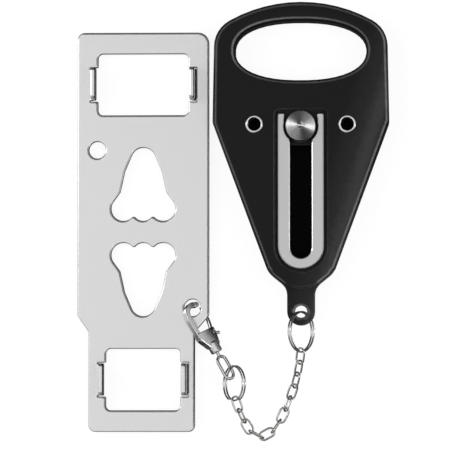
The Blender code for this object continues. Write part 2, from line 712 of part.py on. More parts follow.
def make_casing(material, frame, seat):
    """The moulded casing: rounded slab, thin tail, recess for the track, slot, channel and cover seat."""
    bm = slab([body_outline(), handle_outline()], 0, BODY_THICKNESS)
    round_rims(bm, 0, BODY_THICKNESS, BODY_EDGE_ROUND, 3, held_back=False)
    casing = place("body_casing", bm, material, frame, seat)
    above = BODY_THICKNESS + CUT_OVERRUN
    tail_high = TAIL_MIDDLE_Z + TAIL_THICKNESS / 2
    tail_low = TAIL_MIDDLE_Z - TAIL_THICKNESS / 2
    eyelet_hole = EYELET_BARREL_DIAMETER / 2 + GAP
    screw_hole = SCREW_SHANK_DIAMETER / 2 + GAP
    recess_top = TRACK_TOP_Y + TRACK_RECESS_MARGIN
    recess_low = TRACK_BOTTOM_Y - TRACK_RECESS_MARGIN
    recess_half = TRACK_HALF_WIDTH + TRACK_RECESS_MARGIN
    recess = rounded([
        (recess_half, recess_low, recess_half * ROUND_END_SHARE),
        (recess_half, recess_top, TRACK_RECESS_MARGIN * 2),
        (-recess_half, recess_top, TRACK_RECESS_MARGIN * 2),
        (-recess_half, recess_low, recess_half * ROUND_END_SHARE),
    ])
    slot_top = KNOB_Y + SLOT_HALF_WIDTH
    slot = strip_outline(SLOT_HALF_WIDTH, SLOT_BOTTOM_Y, slot_top, SLOT_HALF_WIDTH * ROUND_END_SHARE)
    channel = strip_outline(CHANNEL_HALF_WIDTH, CHANNEL_BOTTOM_Y, CHANNEL_TOP_Y, CHANNEL_CORNER_RADIUS)
    tail_radius = TAIL_HOLE_DIAMETER / 2
    sink_radius = TAIL_COUNTERSINK_DIAMETER / 2
    sink = turned([
        (0, tail_high + CUT_OVERRUN),
        (sink_radius, tail_high + CUT_OVERRUN),
        (sink_radius, tail_high),
        (tail_radius, tail_high - TAIL_COUNTERSINK_DEPTH),
        (tail_radius, tail_low + TAIL_COUNTERSINK_DEPTH),
        (sink_radius, tail_low),
        (sink_radius, tail_low - CUT_OVERRUN),
        (0, tail_low - CUT_OVERRUN),
    ])
    bmesh.ops.translate(sink, verts=sink.verts, vec=(0, TAIL_HOLE_Y, 0))
    cuts = [
        ("cut_tail_front", tail_relief(tail_high, above)),
        ("cut_tail_back", tail_relief(-CUT_OVERRUN, tail_low)),
        ("cut_cover_seat", slab([cover_outline(GAP)], -CUT_OVERRUN, COVER_SEAT_Z)),
        ("cut_channel", slab([channel], 0, WEB_LOW_Z)),
        ("cut_slot", slab([slot], WEB_LOW_Z - CUT_OVERRUN, above)),
        ("cut_recess", slab([recess], RECESS_FLOOR_Z, above)),
        ("cut_tail_hole", sink),
    ]
    for side, x in (("left", -EYELET_X), ("right", EYELET_X)):
        hole = slab([circle(x, EYELET_Y, eyelet_hole)], 0, above)
        cuts.append((f"cut_eyelet_{side}", hole))
    for i, (x, y) in enumerate(screw_places()):
        hole = slab([circle(x, y, screw_hole, COARSE_ARC_STEP)], 0, SCREW_LENGTH + 2 * GAP)
        cuts.append((f"cut_screw_{i + 1}", hole))
    for name, tool in cuts:
        combine(casing, cutter(name, tool, frame, seat))
    return casing


def make_cover(material, frame, seat):
    """The flat cover let into the casing's back, with countersunk screw holes."""
    cover = place("back_cover", slab([cover_outline(0)], 0, COVER_THICKNESS), material, frame, seat)
    shank = SCREW_SHANK_DIAMETER / 2 + GAP
    head = SCREW_HEAD_DIAMETER / 2 + GAP
    depth = SCREW_HEAD_HEIGHT + GAP
    for i, (x, y) in enumerate(screw_places()):
        tool = turned([
            (0, COVER_THICKNESS + CUT_OVERRUN),
            (shank, COVER_THICKNESS + CUT_OVERRUN),
            (shank, depth),
            (head, 0),
            (head, -CUT_OVERRUN),
            (0, -CUT_OVERRUN),
        ])
        bmesh.ops.translate(tool, verts=tool.verts, vec=(x, y, 0))
        combine(cover, cutter(f"cut_cover_hole_{i + 1}", tool, frame, seat))
    return cover


def make_screws(material, frame, seat):
    """Four slotted countersunk screws, heads level with the cover's back."""
    shank = SCREW_SHANK_DIAMETER / 2
    head = SCREW_HEAD_DIAMETER / 2
    for i, (x, y) in enumerate(screw_places()):
        bm = turned([
            (0, SCREW_LENGTH),
            (shank * SCREW_TIP_SHARE, SCREW_LENGTH),
            (shank, SCREW_LENGTH - shank),
            (shank, SCREW_HEAD_HEIGHT),
            (head, SCREW_HEAD_HEIGHT / 10),
            (head, 0),
            (0, 0),
        ], 16)
        standing = seat @ Matrix.Translation((x, y, 0))
        screw = place(f"cover_screw_{i + 1}", bm, material, frame, standing)
        reach = head + CUT_OVERRUN
        width = SCREW_SLOT_WIDTH / 2
        tool = box((-reach, -width, -CUT_OVERRUN), (reach, width, SCREW_SLOT_DEPTH))
        combine(screw, cutter(f"cut_screw_slot_{i + 1}", tool, frame, standing))


def make_track(material, frame, seat):
    """The steel track: a U with a round bay at its open upper end."""
    mouth = BAY_RADIUS * BAY_MOUTH_SHARE
    first = atan2(sqrt(BAY_RADIUS**2 - mouth**2), mouth)
    last = -atan2(sqrt(BAY_RADIUS**2 - SLOT_HALF_WIDTH**2), SLOT_HALF_WIDTH)
    bay = [(x, y, 0) for x, y in arc(0, KNOB_Y, BAY_RADIUS, first, last)]
    tip_radius = (TRACK_HALF_WIDTH - mouth) / 3
    half = [
        (TRACK_HALF_WIDTH, TRACK_BOTTOM_Y, TRACK_HALF_WIDTH * ROUND_END_SHARE),
        (TRACK_HALF_WIDTH, TRACK_TOP_Y, tip_radius),
        (mouth, TRACK_TOP_Y, tip_radius),
        *bay,
        (SLOT_HALF_WIDTH, SLOT_BOTTOM_Y, SLOT_HALF_WIDTH * ROUND_END_SHARE),
    ]
    outline = rounded(half + [(-x, y, r) for x, y, r in reversed(half)], FINE_ARC_STEP)
    return place("slide_track", slab([outline], TRACK_LOW_Z, TRACK_TOP_Z), material, frame, seat)


def make_eyelets(material, frame, seat):
    """Two flanged eyelets pressed into the casing from the front."""
    bore = EYELET_BORE_DIAMETER / 2
    barrel = EYELET_BARREL_DIAMETER / 2
    flange = EYELET_FLANGE_DIAMETER / 2
    under = BODY_THICKNESS + GAP
    over = under + EYELET_FLANGE_HEIGHT
    ease = EYELET_FLANGE_HEIGHT / 4
    for side, x in (("left", -EYELET_X), ("right", EYELET_X)):
        bm = turned([
            (bore, COVER_SEAT_Z + GAP),
            (bore, over - ease),
            (bore + ease, over),
            (flange - 2 * ease, over),
            (flange, over - 2 * ease),
            (flange, under),
            (barrel, under),
            (barrel, COVER_SEAT_Z + GAP),
        ])
        place(f"{side}_eyelet", bm, material, frame, seat @ Matrix.Translation((x, EYELET_Y, 0)))


def make_slide_block(material, frame):
    """The button's carrier: a boss that fills the slot's width under a round flange."""
    bore = STEM_DIAMETER / 2 + GAP
    width = SLOT_HALF_WIDTH - GAP
    boss = strip_outline(width, -BLOCK_REACH, width, width * ROUND_END_SHARE)
    bm = slab([boss, circle(0, 0, bore)], WEB_LOW_Z, FLANGE_LOW_Z)
    flange = slab([circle(0, 0, BLOCK_FLANGE_DIAMETER / 2), circle(0, 0, bore)], FLANGE_LOW_Z, FLANGE_TOP_Z)
    block = place("slide_block", bm, material, frame)
    upper = place("block_flange_tool", flange, material, frame)
    combine(block, upper, "UNION")
    return block


def make_cap(material, frame):
    """The button's cap: a low cone with a centre dimple, hollow underneath for the spring and the stem."""
    radius = KNOB_DIAMETER / 2
    top = CAP_LOW_Z + KNOB_HEIGHT
    rim = top - KNOB_CONE_HEIGHT
    ease = KNOB_RIM_ROUND * KNOB_RIM_EASE_SHARE
    dimple = KNOB_DIMPLE_DIAMETER / 2
    dimple_edge = top - KNOB_CONE_HEIGHT * dimple / radius
    pocket = KNOB_POCKET_DIAMETER / 2
    seat = STEM_DIAMETER / 2 + GAP
    bm = turned([
        (0, dimple_edge - KNOB_DIMPLE_DEPTH),
        (dimple / 2, dimple_edge - KNOB_DIMPLE_DEPTH * KNOB_DIMPLE_FLOOR_SHARE),
        (dimple, dimple_edge),
        (radius - KNOB_RIM_ROUND, rim),
        (radius - ease, rim - ease),
        (radius, rim - KNOB_RIM_ROUND),
        (radius, CAP_LOW_Z),
        (pocket, CAP_LOW_Z),
        (pocket, POCKET_TOP_Z),
        (seat, POCKET_TOP_Z),
        (seat, POCKET_TOP_Z + STEM_SEAT_DEPTH),
        (0, POCKET_TOP_Z + STEM_SEAT_DEPTH),
    ], 40)
    return place("knob_cap", bm, material, frame)


def make_stem(material, frame):
    """The button's stem, grooved near its lower end for the clip."""
    radius = STEM_DIAMETER / 2
    groove = STEM_GROOVE_DIAMETER / 2
    bottom = CLIP_LOW_Z - STEM_END
    bm = turned([
        (0, POCKET_TOP_Z + STEM_SEAT_DEPTH - GAP),
        (radius, POCKET_TOP_Z + STEM_SEAT_DEPTH - GAP),
        (radius, CLIP_TOP_Z + GAP),
        (groove, CLIP_TOP_Z + GAP),
        (groove, CLIP_LOW_Z - GAP),
        (radius, CLIP_LOW_Z - GAP),
        (radius, bottom + GAP),
        (radius - GAP, bottom),
        (0, bottom),
    ], 20)
    return place("knob_stem", bm, material, frame)


def make_shoe(material, frame):
    """The brake shoe that the spring draws against the underside of the web."""
    outline = strip_outline(SHOE_HALF_WIDTH, -SHOE_HALF_LENGTH, SHOE_HALF_LENGTH, SHOE_CORNER_RADIUS)
    bore = circle(0, 0, STEM_DIAMETER / 2 + GAP)
    return place("brake_shoe", slab([outline, bore], SHOE_LOW_Z, SHOE_TOP_Z), material, frame)


def make_clip(material, frame):
    """The open retaining clip in the stem's groove."""
    inner = STEM_GROOVE_DIAMETER / 2 + GAP
    outer = CLIP_DIAMETER / 2
    mouth_inner = atan2(CLIP_MOUTH / 2, inner)
    mouth_outer = atan2(CLIP_MOUTH / 2, outer)
    ring = arc(0, 0, outer, mouth_outer, 2 * pi - mouth_outer)
    ring += arc(0, 0, inner, 2 * pi - mouth_inner, mouth_inner)
    return place("retaining_clip", slab([ring], CLIP_LOW_Z, CLIP_TOP_Z), material, frame)


def least_gap(points, wire, skip):
    """The least distance between stretches of a wire's surface that lie more than skip points apart."""
    least = min((a - b).length for i, a in enumerate(points) for b in points[i + skip:])
    return least - wire


def coil_points(radius, low, high, turns, per_turn):
    """Points of a coil about Z from one height to another."""
    count = ceil(turns * per_turn)
    angles = [2 * pi * turns * i / count for i in range(count + 1)]
    rise = (high - low) / count
    return [Vector((radius * cos(a), radius * sin(a), low + rise * i)) for i, a in enumerate(angles)]


def make_knob_spring(material, frame):
    """The coil between the carrier's flange and the cap."""
    half_wire = SPRING_WIRE / 2
    low = FLANGE_TOP_Z + GAP + half_wire
    high = POCKET_TOP_Z - GAP - half_wire
    radius = (SPRING_DIAMETER - SPRING_WIRE) / 2
    points = coil_points(radius, low, high, SPRING_TURNS, SPRING_POINTS_PER_TURN)
    gap = least_gap(points, SPRING_WIRE, SPRING_POINTS_PER_TURN // 2)
    print(f"knob_spring least gap to itself {gap / MM:.2f} mm")
    return place("knob_spring", tube(points, half_wire, up=Vector((0, 0, 1))), material, frame)


def split_ring_points(radius, across):
    """Points of a split ring in the plane of across and Y, its wire single at the lowest Y, and its axis."""
    start = -pi / 2 - pi * RING_TURNS
    normal = across.cross(Vector((0, 1, 0)))
    pitch = RING_WIRE + RING_TURN_GAP
    count = ceil(RING_TURNS * RING_POINTS_PER_TURN)
    points = []
    for i in range(count + 1):
        turn = RING_TURNS * i / count
        angle = start + 2 * pi * turn
        flat = across * radius * cos(angle) + Vector((0, 1, 0)) * radius * sin(angle)
        points.append(flat + normal * pitch * (turn - RING_TURNS / 2))
    return points, normal


def body_ring_across():
    """The body ring's direction across, its left side high."""
    return Vector((-cos(BODY_RING_TILT), 0, sin(BODY_RING_TILT)))


def clasp_ring_across():
    """The clasp ring's direction across, its right side high."""
    return Vector((cos(CLASP_RING_TILT), 0, sin(CLASP_RING_TILT)))


def body_ring_centre():
    """The centre of the ring through the body's tail."""
    return Vector((BODY_X, TAIL_HOLE_Y - BODY_RING_RADIUS, FLOOR_Z + TAIL_MIDDLE_Z))


def clasp_ring_centre():
    """The centre of the ring through the swivel eye."""
    return Vector((CLASP_RING_X, CLASP_RING_Y, FLOOR_Z + CLASP_RING_HEIGHT))


def make_split_ring(name, material, centre, radius, across, origin):
    """A split ring whose object origin lies on its joint."""
    points, normal = split_ring_points(radius, across)
    gap = least_gap(points, RING_WIRE, RING_POINTS_PER_TURN // 2)
    print(f"{name} least gap to itself {gap / MM:.2f} mm")
    shifted = [point + centre - origin for point in points]
    bm = tube(shifted, RING_WIRE / 2, up=normal)
    return place(name, bm, material, matrix=Matrix.Translation(origin))


def ahead(points, start, distance):
    """The place on a line of points, counted in points, whose straight distance from start is as asked."""
    here = at(points, start)
    last = len(points) - 1
    if start >= last:
        return start + distance / (points[last] - points[last - 1]).length
    i = int(start) + 1
    while i < last and (points[i] - here).length < distance:
        i += 1
    before = max(start, i - 1)
    low = (at(points, before) - here).length
    high = (points[i] - here).length
    return before + (i - before) * (distance - low) / (high - low)


def at(points, place_on_line):
    """The point at a place on a line, extended past its end."""
    i = min(int(place_on_line), len(points) - 2)
    return points[i].lerp(points[i + 1], place_on_line - i)


def chain_line():
    """The chain's route from inside the body ring to inside the clasp ring."""
    body = body_ring_centre()
    clasp = clasp_ring_centre()
    first = body + Vector((0, RING_HOLD - BODY_RING_RADIUS, 0))
    last = clasp + Vector((0, RING_HOLD - CLASP_RING_RADIUS, 0))
    across = body.x - clasp.x
    route = [Vector((clasp.x + across * share, y, FLOOR_Z + height)) for share, y, height in CHAIN_ROUTE]
    return smooth_curve([first, *route, last], ROUTE_STEPS)


def chain_places(points, reach):
    """Start and end of each link on the route, for links that reach from end wire to end wire by reach."""
    places = []
    start = 0.0
    for _ in range(LINK_COUNT):
        end = ahead(points, start, reach)
        places.append((start, end))
        back = end
        while (at(points, end) - at(points, back)).length < LINK_WIRE + LINK_GAP:
            back -= 1 / ROUTE_STEPS
        start = back
    return places


def link_reach(points):
    """The links' reach, at which the last link ends with the route."""
    low = LINK_WIDTH
    high = 2 * LINK_WIDTH
    for _ in range(24):
        middle = (low + high) / 2
        if chain_places(points, middle)[-1][1] < len(points) - 1:
            low = middle
        else:
            high = middle
    return low


def make_chain(material):
    """Twelve equal links along the route, each turned a quarter and a little more than the one before."""
    points = chain_line()
    reach = link_reach(points)
    ends = [(at(points, start), at(points, end)) for start, end in chain_places(points, reach)]
    headings = [(start - end).normalized() for start, end in ends]
    up = Vector((0, 0, 1))
    rolls = []
    normals = (
        body_ring_across().cross(Vector((0, 1, 0))),
        clasp_ring_across().cross(Vector((0, 1, 0))),
    )
    for heading, normal in zip((headings[0], headings[-1]), normals):
        side = heading.cross(up).normalized()
        rolls.append(atan2(normal.dot(heading.cross(side)), normal.dot(side)))
    turns = LINK_COUNT - 1
    spare = (rolls[1] - rolls[0] - turns * pi / 2 + pi / 2) % pi - pi / 2
    radius = (LINK_WIDTH - LINK_WIRE) / 2
    outline = arc(radius, 0, radius, pi / 2, 3 * pi / 2, COARSE_ARC_STEP)
    outline += arc(reach - radius, 0, radius, -pi / 2, pi / 2, COARSE_ARC_STEP)
    for i, (heading, (start, end)) in enumerate(zip(headings, ends)):
        side = heading.cross(up).normalized()
        roll = rolls[0] + i * (pi / 2 + spare / turns)
        across = side * cos(roll) + heading.cross(side) * sin(roll)
        turned_frame = Matrix((heading, across, heading.cross(across))).transposed().to_4x4()
        path = [Vector((x, y, 0)) for x, y in outline]
        bm = tube(path, LINK_WIRE / 2, closed=True, up=up)
        place(f"chain_link_{i + 1:02d}", bm, material, matrix=Matrix.Translation(end) @ turned_frame)
    print(f"chain links reach {reach / MM:.2f} mm")


def clasp_frame():
    """The clasp's frame at the plate's hole: X to its high side, Y along it, Z out of its middle plane."""
    along = Vector((cos(CLASP_HEADING), sin(CLASP_HEADING), 0))
    up = Vector((0, 0, 1))
    side = along.cross(up) * cos(CLASP_ROLL) + up * sin(CLASP_ROLL)
    out = side.cross(along)
    turned_frame = Matrix((side, along, out)).transposed().to_4x4()
    return Matrix.Translation((CHAIN_HOLE_X, CHAIN_HOLE_Y, PLATE_THICKNESS / 2)) @ turned_frame


def ribbon(line, half_width):
    """An outline of even width along a centre line, round at its last end."""
    left = []
    right = []
    for i, point in enumerate(line):
        along = (line[min(i + 1, len(line) - 1)] - line[max(i - 1, 0)]).normalized()
        side = Vector((-along.y, along.x, 0)) * half_width
        left.append(point + side)
        right.append(point - side)
    along = (line[-1] - line[-2]).normalized()
    angle = atan2(along.y, along.x)
    tip = arc(line[-1].x, line[-1].y, half_width, angle - pi / 2, angle + pi / 2, COARSE_ARC_STEP)
    outline = [(p.x, p.y) for p in right] + tip + [(p.x, p.y) for p in reversed(left)]
    return without_repeats(outline)


def make_clasp_body(material, frame):
    """The clasp's casting: hook, flat base with the trigger's slot, and the round barrel of the swivel."""
    half = HOOK_THICKNESS / 2
    line = smooth_curve([Vector((x, y, 0)) for x, y in HOOK_LINE], 4)
    hook = slab([ribbon(line, HOOK_HALF_WIDTH)], -half, half)
    round_rims(hook, -half, half, HOOK_EDGE_ROUND, 2)
    clasp = place("clasp_body", hook, material, matrix=frame)
    deep = CLASP_BASE_THICKNESS / 2
    end = BARREL_DIAMETER / 2
    base = slab([rounded([
        (-end, CLASP_BASE_END, CLASP_BASE_CORNER_RADIUS),
        (-CLASP_BASE_LOW, CLASP_BASE_SHOULDER, CLASP_BASE_CORNER_RADIUS),
        (-CLASP_BASE_LOW, CLASP_BASE_START, CLASP_BASE_CORNER_RADIUS / 2),
        (CLASP_BASE_HIGH, CLASP_BASE_START, CLASP_BASE_CORNER_RADIUS / 2),
        (CLASP_BASE_HIGH, CLASP_BASE_SHOULDER, CLASP_BASE_CORNER_RADIUS),
        (end, CLASP_BASE_END, CLASP_BASE_CORNER_RADIUS),
    ])], -deep, deep)
    round_rims(base, -deep, deep, HOOK_EDGE_ROUND, 2)
    combine(clasp, place("clasp_base_tool", base, material, matrix=frame), "UNION")
    along = Matrix.Rotation(-pi / 2, 4, "X")
    ease = HOOK_EDGE_ROUND
    barrel = turned([
        (0, BARREL_END),
        (end - ease, BARREL_END),
        (end, BARREL_END - ease),
        (end, BARREL_START + ease),
        (end - ease, BARREL_START),
        (0, BARREL_START),
    ])
    combine(clasp, place("clasp_barrel_tool", barrel, material, matrix=frame @ along), "UNION")
    pocket_high = BARREL_END - SWIVEL_WALL
    pocket = SWIVEL_POCKET_DIAMETER / 2
    bore = SWIVEL_BORE_DIAMETER / 2
    swivel = turned([
        (0, BARREL_END + CUT_OVERRUN),
        (bore, BARREL_END + CUT_OVERRUN),
        (bore, pocket_high),
        (pocket, pocket_high),
        (pocket, pocket_high - SWIVEL_POCKET_LENGTH),
        (0, pocket_high - SWIVEL_POCKET_LENGTH),
    ])
    slot_half = GATE_SLOT_THICKNESS / 2
    slot_low = (-2 * CLASP_BASE_LOW, CLASP_BASE_START - CUT_OVERRUN, -slot_half)
    slot = box(slot_low, (-GATE_SLOT_INNER, GATE_SLOT_END, slot_half))
    pin_hole = slab([circle(-PIVOT_OFFSET, PIVOT_ALONG, PIN_DIAMETER / 2 + GAP)], -2 * deep, 2 * deep)
    spring_bore = TRIGGER_SPRING_DIAMETER / 2 + GAP
    spring_end = PIVOT_ALONG + GATE_EYE_DIAMETER / 2 + TRIGGER_SPRING_LENGTH + 2 * GAP
    well = turned([
        (0, spring_end),
        (spring_bore, spring_end),
        (spring_bore, GATE_SLOT_END - CUT_OVERRUN),
        (0, GATE_SLOT_END - CUT_OVERRUN),
    ], 16)
    cuts = [
        ("cut_swivel", swivel, frame @ along),
        ("cut_trigger_slot", slot, frame),
        ("cut_pin_hole", pin_hole, frame),
        ("cut_spring_well", well, frame @ Matrix.Translation((-TRIGGER_SPRING_OFFSET, 0, 0)) @ along),
    ]
    for name, tool, matrix in cuts:
        combine(clasp, cutter(name, tool, None, matrix))
    return clasp


def make_clasp_trigger(material, frame):
    """The trigger: an eye on the pin, an arm that closes the hook and a thumb lever."""
    pivot = Vector((-PIVOT_OFFSET, PIVOT_ALONG, 0))
    seat = frame @ Matrix.Translation(pivot)
    half = GATE_EYE_THICKNESS / 2
    eye = slab([circle(0, 0, GATE_EYE_DIAMETER / 2)], -half, half)
    trigger = place("clasp_trigger", eye, material, matrix=seat)
    arm_line = smooth_curve([Vector((x, y, 0)) - pivot for x, y in GATE_LINE], 3)
    arm = tube(arm_line, GATE_DIAMETER / 2, sides=10, up=Vector((0, 0, 1)))
    combine(trigger, place("trigger_arm_tool", arm, material, matrix=seat), "UNION")
    lever_line = smooth_curve([Vector((x, y, z)) - pivot for x, y, z in LEVER_LINE], 3)
    lever = tube(lever_line, LEVER_DIAMETER / 2, sides=10, up=Vector((0, 0, 1)))
    combine(trigger, place("trigger_lever_tool", lever, material, matrix=seat), "UNION")
    reach = 2 * CLASP_BASE_THICKNESS
    bore = slab([circle(0, 0, PIN_DIAMETER / 2 + GAP)], -reach, reach)
    combine(trigger, cutter("cut_trigger_bore", bore, None, seat))
    return trigger


def make_trigger_pin(material, frame):
    """The trigger's pin, level with both faces of the base."""
    half = CLASP_BASE_THICKNESS / 2
    radius = PIN_DIAMETER / 2
    ease = radius * PIN_CHAMFER_SHARE
    pin = turned([(0, half), (radius - ease, half), (radius, half - ease), (radius, -half), (0, -half)], 16)
    seat = frame @ Matrix.Translation((-PIVOT_OFFSET, PIVOT_ALONG, 0))
    return place("trigger_pin", pin, material, matrix=seat)


def make_trigger_spring(material, frame):
    """The small coil behind the trigger's eye."""
    half_wire = TRIGGER_SPRING_WIRE / 2
    radius = TRIGGER_SPRING_DIAMETER / 2 - half_wire
    length = TRIGGER_SPRING_LENGTH - TRIGGER_SPRING_WIRE
    turns = TRIGGER_SPRING_TURNS
    points = coil_points(radius, half_wire, half_wire + length, turns, SPRING_POINTS_PER_TURN)
    gap = least_gap(points, TRIGGER_SPRING_WIRE, SPRING_POINTS_PER_TURN // 2)
    print(f"trigger_spring least gap to itself {gap / MM:.2f} mm")
    low = PIVOT_ALONG + GATE_EYE_DIAMETER / 2 + GAP
    seat = frame @ Matrix.Translation((-TRIGGER_SPRING_OFFSET, low, 0)) @ Matrix.Rotation(-pi / 2, 4, "X")
    return place("trigger_spring", tube(points, half_wire, up=Vector((0, 0, 1))), material, matrix=seat)


def make_swivel_eye(material, frame):
    """The swivel: a headed shank held in the barrel and a long loop."""
    shank = SWIVEL_SHANK_DIAMETER / 2
    head = SWIVEL_HEAD_DIAMETER / 2
    head_high = BARREL_END - SWIVEL_WALL - GAP
    head_low = BARREL_END - SWIVEL_WALL - SWIVEL_POCKET_LENGTH + GAP
    post = turned([
        (0, EYE_START + EYE_WIRE / 2),
        (shank, EYE_START + EYE_WIRE / 2),
        (shank, head_high),
        (head, head_high),
        (head, head_low),
        (0, head_low),
    ], 16)
    along = Matrix.Rotation(-pi / 2, 4, "X")
    eye = place("swivel_eye", post, material, matrix=frame @ along)
    radius = EYE_HALF_WIDTH - EYE_WIRE / 2
    low = EYE_START + EYE_WIRE / 2 + radius
    high = EYE_END - EYE_WIRE / 2 - radius
    outline = arc(0, low, radius, pi, 2 * pi, EYE_ARC_STEP) + arc(0, high, radius, 0, pi, EYE_ARC_STEP)
    path = [Vector((x, y, 0)) for x, y in outline]
    loop = tube(path, EYE_WIRE / 2, closed=True, sides=10, up=Vector((0, 0, 1)))
    combine(eye, place("eye_loop_tool", loop, material, matrix=frame), "UNION")
    return eye


def main():
    """Builds every piece at its place."""
    clear_scene()
    steel = make_material("brushed_steel", (0.62, 0.62, 0.63), 0.32, 1.0)
    chrome = make_material("chrome", (0.75, 0.75, 0.76), 0.12, 1.0)
    plastic = make_material("black_plastic", (0.018, 0.018, 0.019), 0.42, 0.0)
    nickel = make_material("nickel_wire", (0.60, 0.59, 0.57), 0.2, 1.0)
    rubber = make_material("brake_rubber", (0.03, 0.03, 0.03), 0.8, 0.0)
    zinc = make_material("screw_zinc", (0.45, 0.45, 0.46), 0.35, 1.0)
    make_strike_plate(steel)
    pivot = frame_at("lock_body_pivot", Matrix.Translation((BODY_X, TAIL_HOLE_Y, FLOOR_Z)))
    seat = Matrix.Translation((0, -TAIL_HOLE_Y, 0))
    make_casing(plastic, pivot, seat)
    make_cover(plastic, pivot, seat)
    make_screws(zinc, pivot, seat)
    make_track(steel, pivot, seat)
    make_eyelets(chrome, pivot, seat)
    slider = frame_at("slider_pivot", Matrix.Translation((0, KNOB_Y - TAIL_HOLE_Y, 0)), pivot)
    make_slide_block(plastic, slider)
    make_knob_spring(nickel, slider)
    knob = frame_at("knob_pivot", Matrix.Identity(4), slider)
    make_cap(chrome, knob)
    make_stem(chrome, knob)
    make_shoe(rubber, knob)
    make_clip(nickel, knob)
    body_centre = body_ring_centre()
    body_joint = body_centre - Vector((0, BODY_RING_RADIUS, 0))
    across = body_ring_across()
    make_split_ring("body_split_ring", nickel, body_centre, BODY_RING_RADIUS, across, body_joint)
    clasp_centre = clasp_ring_centre()
    across = clasp_ring_across()
    angle = CLASP_RING_JOINT_ANGLE
    reach = across * cos(angle) + Vector((0, 1, 0)) * sin(angle)
    clasp_joint = clasp_centre + reach * CLASP_RING_RADIUS
    make_split_ring("clasp_split_ring", nickel, clasp_centre, CLASP_RING_RADIUS, across, clasp_joint)
    make_chain(nickel)
    clasp = clasp_frame()
    make_clasp_body(chrome, clasp)
    make_clasp_trigger(chrome, clasp)
    make_trigger_pin(nickel, clasp)
    make_trigger_spring(nickel, clasp)
    make_swivel_eye(chrome, clasp)


main()
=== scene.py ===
"""Finishes and studio for a portable door lock: satin plate, black lock body, plated clasp and chain."""

import json
from math import cos, pi, radians, sin

import bmesh
import bpy
from bpy.props import FloatProperty, FloatVectorProperty, IntProperty, PointerProperty
from mathutils import Matrix, Vector


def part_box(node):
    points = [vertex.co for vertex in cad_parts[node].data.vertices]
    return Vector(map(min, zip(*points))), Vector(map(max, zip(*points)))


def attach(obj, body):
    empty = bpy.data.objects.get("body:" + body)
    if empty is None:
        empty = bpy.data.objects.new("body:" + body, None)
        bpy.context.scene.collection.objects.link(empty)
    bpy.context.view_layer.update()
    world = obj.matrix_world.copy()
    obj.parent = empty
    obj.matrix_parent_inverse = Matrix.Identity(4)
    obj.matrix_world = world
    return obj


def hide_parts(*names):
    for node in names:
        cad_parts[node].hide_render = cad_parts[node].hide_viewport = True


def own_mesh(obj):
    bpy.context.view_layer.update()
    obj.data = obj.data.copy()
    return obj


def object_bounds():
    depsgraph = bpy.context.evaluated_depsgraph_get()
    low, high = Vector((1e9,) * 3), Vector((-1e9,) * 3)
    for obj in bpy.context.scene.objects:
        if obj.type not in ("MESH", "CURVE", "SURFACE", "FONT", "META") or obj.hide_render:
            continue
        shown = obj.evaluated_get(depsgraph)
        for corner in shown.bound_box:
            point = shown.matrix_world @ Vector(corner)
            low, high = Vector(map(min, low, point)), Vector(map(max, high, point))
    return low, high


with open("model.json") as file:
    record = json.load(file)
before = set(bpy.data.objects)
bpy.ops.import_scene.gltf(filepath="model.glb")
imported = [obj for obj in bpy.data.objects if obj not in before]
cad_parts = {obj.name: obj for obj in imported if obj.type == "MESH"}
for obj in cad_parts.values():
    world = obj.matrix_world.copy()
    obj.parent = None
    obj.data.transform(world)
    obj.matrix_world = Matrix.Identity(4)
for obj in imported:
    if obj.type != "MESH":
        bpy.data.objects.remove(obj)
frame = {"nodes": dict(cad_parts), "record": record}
NODES = frame["nodes"]
CAD_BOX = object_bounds()

bl_info = {
    "name": "Portable Door Lock",
    "version": (1, 0, 0),
    "blender": (4, 5, 0),
    "location": "3D View > Sidebar > Door Lock",
    "description": "Dresses a portable door lock and sets it on a studio floor",
    "category": "Object",
}

MM = 0.001
FLOOR_GAP = 0.1 * MM
FLOOR_Z = CAD_BOX[0][2] - FLOOR_GAP

# Straight out of the casing's right flank, how far out the flank lies, and how far in its painted sheen
# reaches
FLANK_DIRECTION = (0.955, -0.295, 0.0)
FLANK_MM = 84.6
SHEEN_MM = 30.0

# Towards the camera's upper right, where the photograph's sheet edges are dark: sheet edges that face this
# way get painted shade
SHADED_EDGE_DIRECTION = (0.75, 0.66, 0.0)

# The painted edge highlight and shade lie on the flat sheet: they end a quarter of this height up, where the
# claws rise
SHEET_REACH_MM = 10.0

# Colours that more than one finish fades to
WHITE = (1.0, 1.0, 1.0)
BLACK = (0.0, 0.0, 0.0)

# Directions of the object, and a texture's stretch where it has none
ACROSS = (1.0, 0.0, 0.0)
UPWARDS = (0.0, 1.0, 0.0)
FACE_ON = (0.0, 0.0, 1.0)
EVEN = (1.0, 1.0, 1.0)

# Edges sharper than this stay hard, in degrees, and faces flatter than the second are one face
HARD_EDGE = 35
ONE_FACE = 0.5

# Rounding of each small piece's edges, in millimetres
EDGES_MM = {
    "back_cover": 0.2,
    "slide_block": 0.15,
    "left_eyelet": 0.08,
    "right_eyelet": 0.08,
    "knob_stem": 0.1,
    "brake_shoe": 0.25,
    "retaining_clip": 0.08,
    "cover_screw_1": 0.08,
    "cover_screw_2": 0.08,
    "cover_screw_3": 0.08,
    "cover_screw_4": 0.08,
    "clasp_body": 0.18,
    "clasp_trigger": 0.12,
    "swivel_eye": 0.1,
    "trigger_pin": 0.06,
}

# Where the sky glows low, which way the camera leans, and the point that the softboxes face, in metres
GLOW_DIRECTION = (-0.7, -0.71, 0.0)
LEAN_DIRECTION = (0.608, -0.794, 0.0)
LAMP_TARGET = (0.03, 0.0, 0.0)

# Floor: half its width and depth in metres, its rows and columns, and where and how steeply its far end rises
FLOOR_REACH = 2.2
FLOOR_ROWS = 16
FLOOR_COLUMNS = 4
FLOOR_FLAT = 1.2
FLOOR_RISE = 0.8

